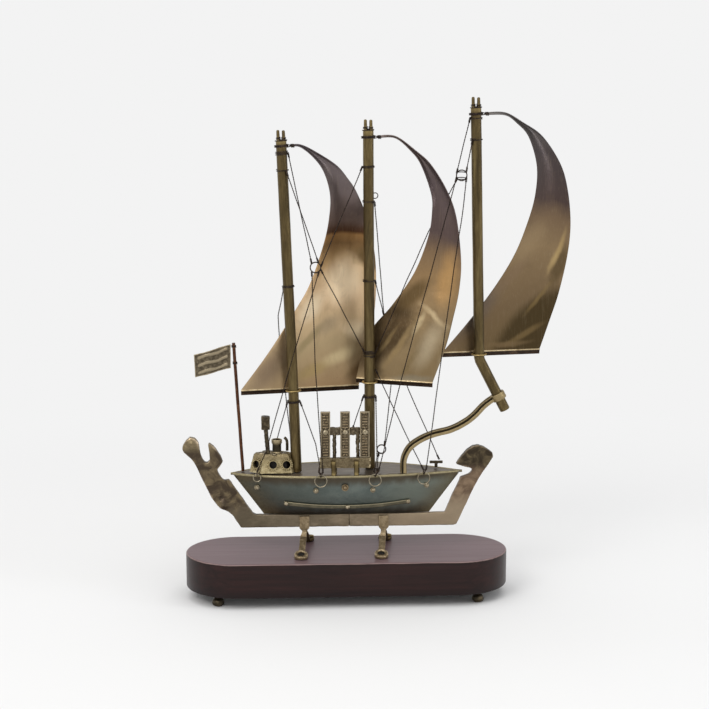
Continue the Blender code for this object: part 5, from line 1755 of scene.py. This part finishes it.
def make_side_stays():
    """The stays from a wire loop low on the mizzen and the main mast."""
    radius = MAST_RADIUS + GAP + RING_WIRE
    centre, way = mast_at("mizzen", 61)
    make_rigging_piece("mizzen_side_stays", [
        [centre + Vector((-radius, 0.5, 0)), ship(-66.5, 9.5, 1.5)],
        [centre + Vector((radius, -0.5, 0)), beside_rack(-1, 3.4, -24.5, 27.5),
         beside_rack(-1, 0.3, -27.8, 9.5), above_ring("mizzen", -1.6)],
    ], [hook("mizzen", -1.6)], [(centre, way.normalized(), radius)])
    centre, way = mast_at("main", 63.5)
    make_rigging_piece("main_side_stays", [
        [centre + Vector((radius, -0.5, 0)), beside_rack(1, 5.9, -18, 13.5), above_ring("main", -0.8)],
        [centre + Vector((-radius, -0.5, 0)), ship(4.0, -16.2, 37.5)],
    ], [], [(centre, way.normalized(), radius)])


def make_single_stays():
    make_rigging_piece("main_bow_stay", [
        [beside_mast("main", 87.5, 340), ship(31.5, -4.0, 72.5), ship(53.5, -8, 25.5), above_ring("fore")],
    ], [hook("fore")])
    make_rigging_piece("mizzen_far_stay", [
        [beside_mast("mizzen", 160.5, 132), ship(-58.4, 7.0, 133.5), ship(-57.5, 12.5, 113.5),
         ship(-46, 21.5, 1.5)],
    ], [mast_wrap("mizzen", 160.5, 1.4)])


def make_fore_web():
    spreader = ship(97.5, -1.0, 253.5)
    at_spreader = offsets_from(spreader)
    bars = [spline([at_spreader(-4.2, rise), at_spreader(0, rise + 0.3), at_spreader(4.4, rise - 0.3)], 5)
            for rise in (-3.6, -2.0, 2.6)]
    make_rigging_piece("fore_shroud_web", [
        [beside_mast("fore", 302, 194), at_spreader(-4.4, 1.5)],
        [beside_mast("fore", 283.5, 224), at_spreader(3.8, 2.5)],
        [at_spreader(-4.2, -1.5), ship(88.5, -9, 237.5), ship(73, -13, 180.5), ship(45.5, -18.5, 80.5),
         ship(27.5, -26.3, 9.5), above_ring("main", 2.6)],
        [at_spreader(4.2, -1.5), ship(97.5, -11, 222.5), ship(90.3, -17, 178.5), ship(76.5, -23, 77.5),
         above_ring("fore", 2)],
        [at_spreader(-3.6, -2.5), ship(85.5, 5.5, 233.5), ship(70.2, 7.0, 204.5),
         beside_mast("main", 100.5, 24)],
    ], [mast_wrap("fore", 301.5, 1.6), mast_wrap("fore", 283.5, 1.6), mast_wrap("main", 99.0, 1.6),
        hook("main", 2.6), hook("fore", 2)] + bars, [(spreader, TOWARD_FAR, 4.5)])


def make_masthead_windings():
    crowns = Shape()
    for mast in MASTS:
        _, bend, head = mast_path(mast)
        up = (head - bend).normalized()
        crowns.wire(coil(head - up * 0.2, up, MAST_RADIUS + 0.4, 1.3, 0.8, 0.4), 0.42)
        for side in (-1, 1):
            middle = head + Vector((side * PRONG_SPREAD, 0, 0)) + up * 1.6
            crowns.wire(coil(middle, up, 1.8, 2.4, 0.9, side), 0.36)
    crowns.wave(0.2, 3.0)
    add_shape("masthead_windings", crowns, "wire")


# ---------------------------------------------------------------- stage

CAMERA_PLACE = (-0.0738, -1.5725, 0.4971)
CAMERA_TARGET = (0.0068, 0.0, 0.2127)
CAMERA_LENS = 94.66
PALE = 0.896
FLOOR_TONE = (0.775, 0.775, 0.775, 1)
# Each area light's place, what it faces, its width and height, its power and its colour
LIGHTS = {
    "overhead": ((0, 0, 2.4), (0, 0, 0), (3.2, 3.2), 34.0, (1, 1, 1)),
    "key": ((-0.9, -1.3, 1.3), (0, 0, 0.15), (0.7, 0.5), 8.5, (1.0, 0.98, 0.95)),
    "edge": ((1.3, -0.5, 0.7), (0.02, 0, 0.25), (0.25, 0.9), 3.0, (0.95, 0.98, 1.0)),
}


def facing(place, target):
    """The turn of a camera or light that looks from a place to its target."""
    return (Vector(target) - Vector(place)).to_track_quat("-Z", "Y").to_euler()


def make_camera():
    data = bpy.data.cameras.new("camera")
    data.lens = CAMERA_LENS
    data.sensor_width = 36.0
    camera = placed("camera", data)
    camera.location = CAMERA_PLACE
    camera.rotation_euler = facing(CAMERA_PLACE, CAMERA_TARGET)
    bpy.context.scene.camera = camera
    bpy.context.scene.view_settings.view_transform = "Standard"


def make_floor():
    """A wide disc, matt round the ship and as bright as the background far away."""
    disc = Shape()
    disc.loft([[(a, b, 0) for a, b in circle(radius, 96)] for radius in (6000, 1500, 600, 200, 1)],
              caps=False)
    mesh = disc.mesh("floor", 0.0001)
    floor = placed("floor", mesh)
    paint = Recipe("pale floor")
    x, y, _ = paint.axes()
    away = (x * x + y * y) ** 0.5
    far = paint.ease(away, 300.0, 800.0)
    glow = paint.node("ShaderNodeEmission", None, {"Color": (1, 1, 1, 1), "Strength": PALE})
    matt = paint.node("ShaderNodeBsdfDiffuse", None, {"Color": FLOOR_TONE})
    both = paint.node("ShaderNodeMixShader", None, {0: far, 1: matt, 2: glow})
    leave = paint.tree.nodes["Material Output"]
    paint.feed(leave.inputs["Surface"], both)
    mesh.materials.append(paint.material)


def make_world():
    """A pale horizon under a softly lit upper half that is brightest at the front."""
    world = bpy.data.worlds.new("studio")
    bpy.context.scene.world = world
    world.use_nodes = True
    sky = Tree(world.node_tree)
    ray = sky.tree.nodes.new("ShaderNodeTexCoord")
    split = sky.tree.nodes.new("ShaderNodeSeparateXYZ")
    sky.tree.links.new(ray.outputs["Generated"], split.inputs[0])
    side, depth, rise = [Value(sky, socket) for socket in split.outputs]
    high = sky.ease(rise, 0.12, 0.55)
    upper = sky.ease(depth * -1 - side * 0.5, -0.5, 0.9) * 0.75 + 0.35
    level = PALE * (1 - high) + upper * high
    background = sky.tree.nodes["Background"]
    sky.feed(background.inputs["Color"], sky.node("ShaderNodeCombineColor", None, {
        0: level, 1: level, 2: level}))


def make_lights():
    for name, (place, target, size, power, colour) in LIGHTS.items():
        data = bpy.data.lights.new(name, "AREA")
        data.shape = "RECTANGLE"
        data.size, data.size_y = size
        data.energy = power
        data.color = colour
        light = placed(name, data)
        light.location = place
        light.rotation_euler = facing(place, target)


# ---------------------------------------------------------------- add-on

class ShipSizes(bpy.types.PropertyGroup):
    strand_radius: bpy.props.FloatProperty(
        name="Strand radius", description="Radius of one of the two strands of a stay",
        default=0.0003, min=0.00005, unit="LENGTH")
    twist_pitch: bpy.props.FloatProperty(
        name="Twist pitch", description="Length of a stay over which its strands turn once",
        default=0.003, min=0.0005, unit="LENGTH")
    rivet_height: bpy.props.FloatProperty(
        name="Rivet height", description="How far the strake rivets stand out",
        default=0.0016, min=0.0001, unit="LENGTH")
    rib_pitch: bpy.props.FloatProperty(
        name="Rib pitch", description="Distance between the ribs of a rack column",
        default=0.0024, min=0.0008, unit="LENGTH")


class ShipColours(bpy.types.PropertyGroup):
    mahogany: bpy.props.FloatVectorProperty(
        name="Mahogany", description="Colour of the plinth's wood", subtype="COLOR",
        default=tone(34, 15, 13)[:3], min=0, max=1)
    aged_brass: bpy.props.FloatVectorProperty(
        name="Aged brass", description="Middle colour of the masts and collars", subtype="COLOR",
        default=tone(104, 88, 56)[:3], min=0, max=1)


class SHIP_OT_finishes(bpy.types.Operator):
    """Mix the finishes and build the node trees that the pieces share"""
    bl_idname = "ship.finishes"
    bl_label = "Finishes"

    def execute(self, context):
        mix_finishes()
        twisted_wire_tree()
        rivet_tree()
        rib_tree()
        return {"FINISHED"}


class SHIP_OT_plinth(bpy.types.Operator):
    """Make the wooden plinth and its ball feet"""
    bl_idname = "ship.plinth"
    bl_label = "Plinth and feet"

    def execute(self, context):
        make_plinth()
        make_feet()
        return {"FINISHED"}


class SHIP_OT_carriers(bpy.types.Operator):
    """Make the two keel castings and the four legs"""
    bl_idname = "ship.carriers"
    bl_label = "Keel and legs"

    def execute(self, context):
        make_keel()
        make_legs()
        return {"FINISHED"}


class SHIP_OT_hull(bpy.types.Operator):
    """Make the hull, the deck, the strakes and the round fittings"""
    bl_idname = "ship.hull"
    bl_label = "Hull and deck"

    def execute(self, context):
        make_hull()
        make_deck()
        make_strakes()
        make_hull_fittings()
        return {"FINISHED"}


class SHIP_OT_cabin(bpy.types.Operator):
    """Make the deckhouse, its funnel, lever and hook, and the flag"""
    bl_idname = "ship.cabin"
    bl_label = "Deckhouse and flag"

    def execute(self, context):
        make_cabin()
        make_cabin_top()
        make_flag()
        return {"FINISHED"}


class SHIP_OT_rack(bpy.types.Operator):
    """Make the rack of three ribbed columns"""
    bl_idname = "ship.rack"
    bl_label = "Column rack"

    def execute(self, context):
        make_rack_beam()
        make_rack_columns()
        make_rack_crossbar()
        make_rack_studs()
        return {"FINISHED"}


class SHIP_OT_spars(bpy.types.Operator):
    """Make the cleat, the bowsprit and the three masts"""
    bl_idname = "ship.spars"
    bl_label = "Masts and bowsprit"

    def execute(self, context):
        make_spars()
        return {"FINISHED"}


class SHIP_OT_sails(bpy.types.Operator):
    """Make the three sheet sails with the collars and wires that hold them"""
    bl_idname = "ship.sails"
    bl_label = "Sails"

    def execute(self, context):
        make_sails()
        return {"FINISHED"}


class SHIP_OT_rigging(bpy.types.Operator):
    """Make the twisted wire stays with their rings, hooks and knots"""
    bl_idname = "ship.rigging"
    bl_label = "Rigging"

    def execute(self, context):
        make_mizzen_web()
        make_topmast_stay()
        make_side_stays()
        make_single_stays()
        make_fore_web()
        make_masthead_windings()
        return {"FINISHED"}


class SHIP_OT_stage(bpy.types.Operator):
    """Set up the floor, the lights and the camera"""
    bl_idname = "ship.stage"
    bl_label = "Stage"

    def execute(self, context):
        make_camera()
        make_floor()
        make_world()
        make_lights()
        return {"FINISHED"}


STEPS = (SHIP_OT_stage, SHIP_OT_finishes, SHIP_OT_plinth, SHIP_OT_carriers, SHIP_OT_hull, SHIP_OT_cabin,
         SHIP_OT_rack, SHIP_OT_spars, SHIP_OT_sails, SHIP_OT_rigging)


class SHIP_PT_panel(bpy.types.Panel):
    """The steps that make the ship, in order"""
    bl_idname = "SHIP_PT_panel"
    bl_label = "Ship"
    bl_space_type = "VIEW_3D"
    bl_region_type = "UI"
    bl_category = "Ship"

    def draw(self, context):
        sizes = context.scene.ship_sizes
        for name in ("strand_radius", "twist_pitch", "rivet_height", "rib_pitch"):
            self.layout.prop(sizes, name)
        colours = context.scene.ship_colours
        for name in ("mahogany", "aged_brass"):
            self.layout.prop(colours, name)
        for step in STEPS:
            self.layout.operator(step.bl_idname)


CLASSES = (ShipSizes, ShipColours, *STEPS, SHIP_PT_panel)


def register():
    for one in CLASSES:
        bpy.utils.register_class(one)
    bpy.types.Scene.ship_sizes = bpy.props.PointerProperty(type=ShipSizes)
    bpy.types.Scene.ship_colours = bpy.props.PointerProperty(type=ShipColours)


def unregister():
    del bpy.types.Scene.ship_sizes
    del bpy.types.Scene.ship_colours
    for one in reversed(CLASSES):
        bpy.utils.unregister_class(one)


def main():
    register()
    for step in STEPS:
        getattr(bpy.ops.ship, step.bl_idname.split(".")[1])()


if __name__ == "__main__":
    main()
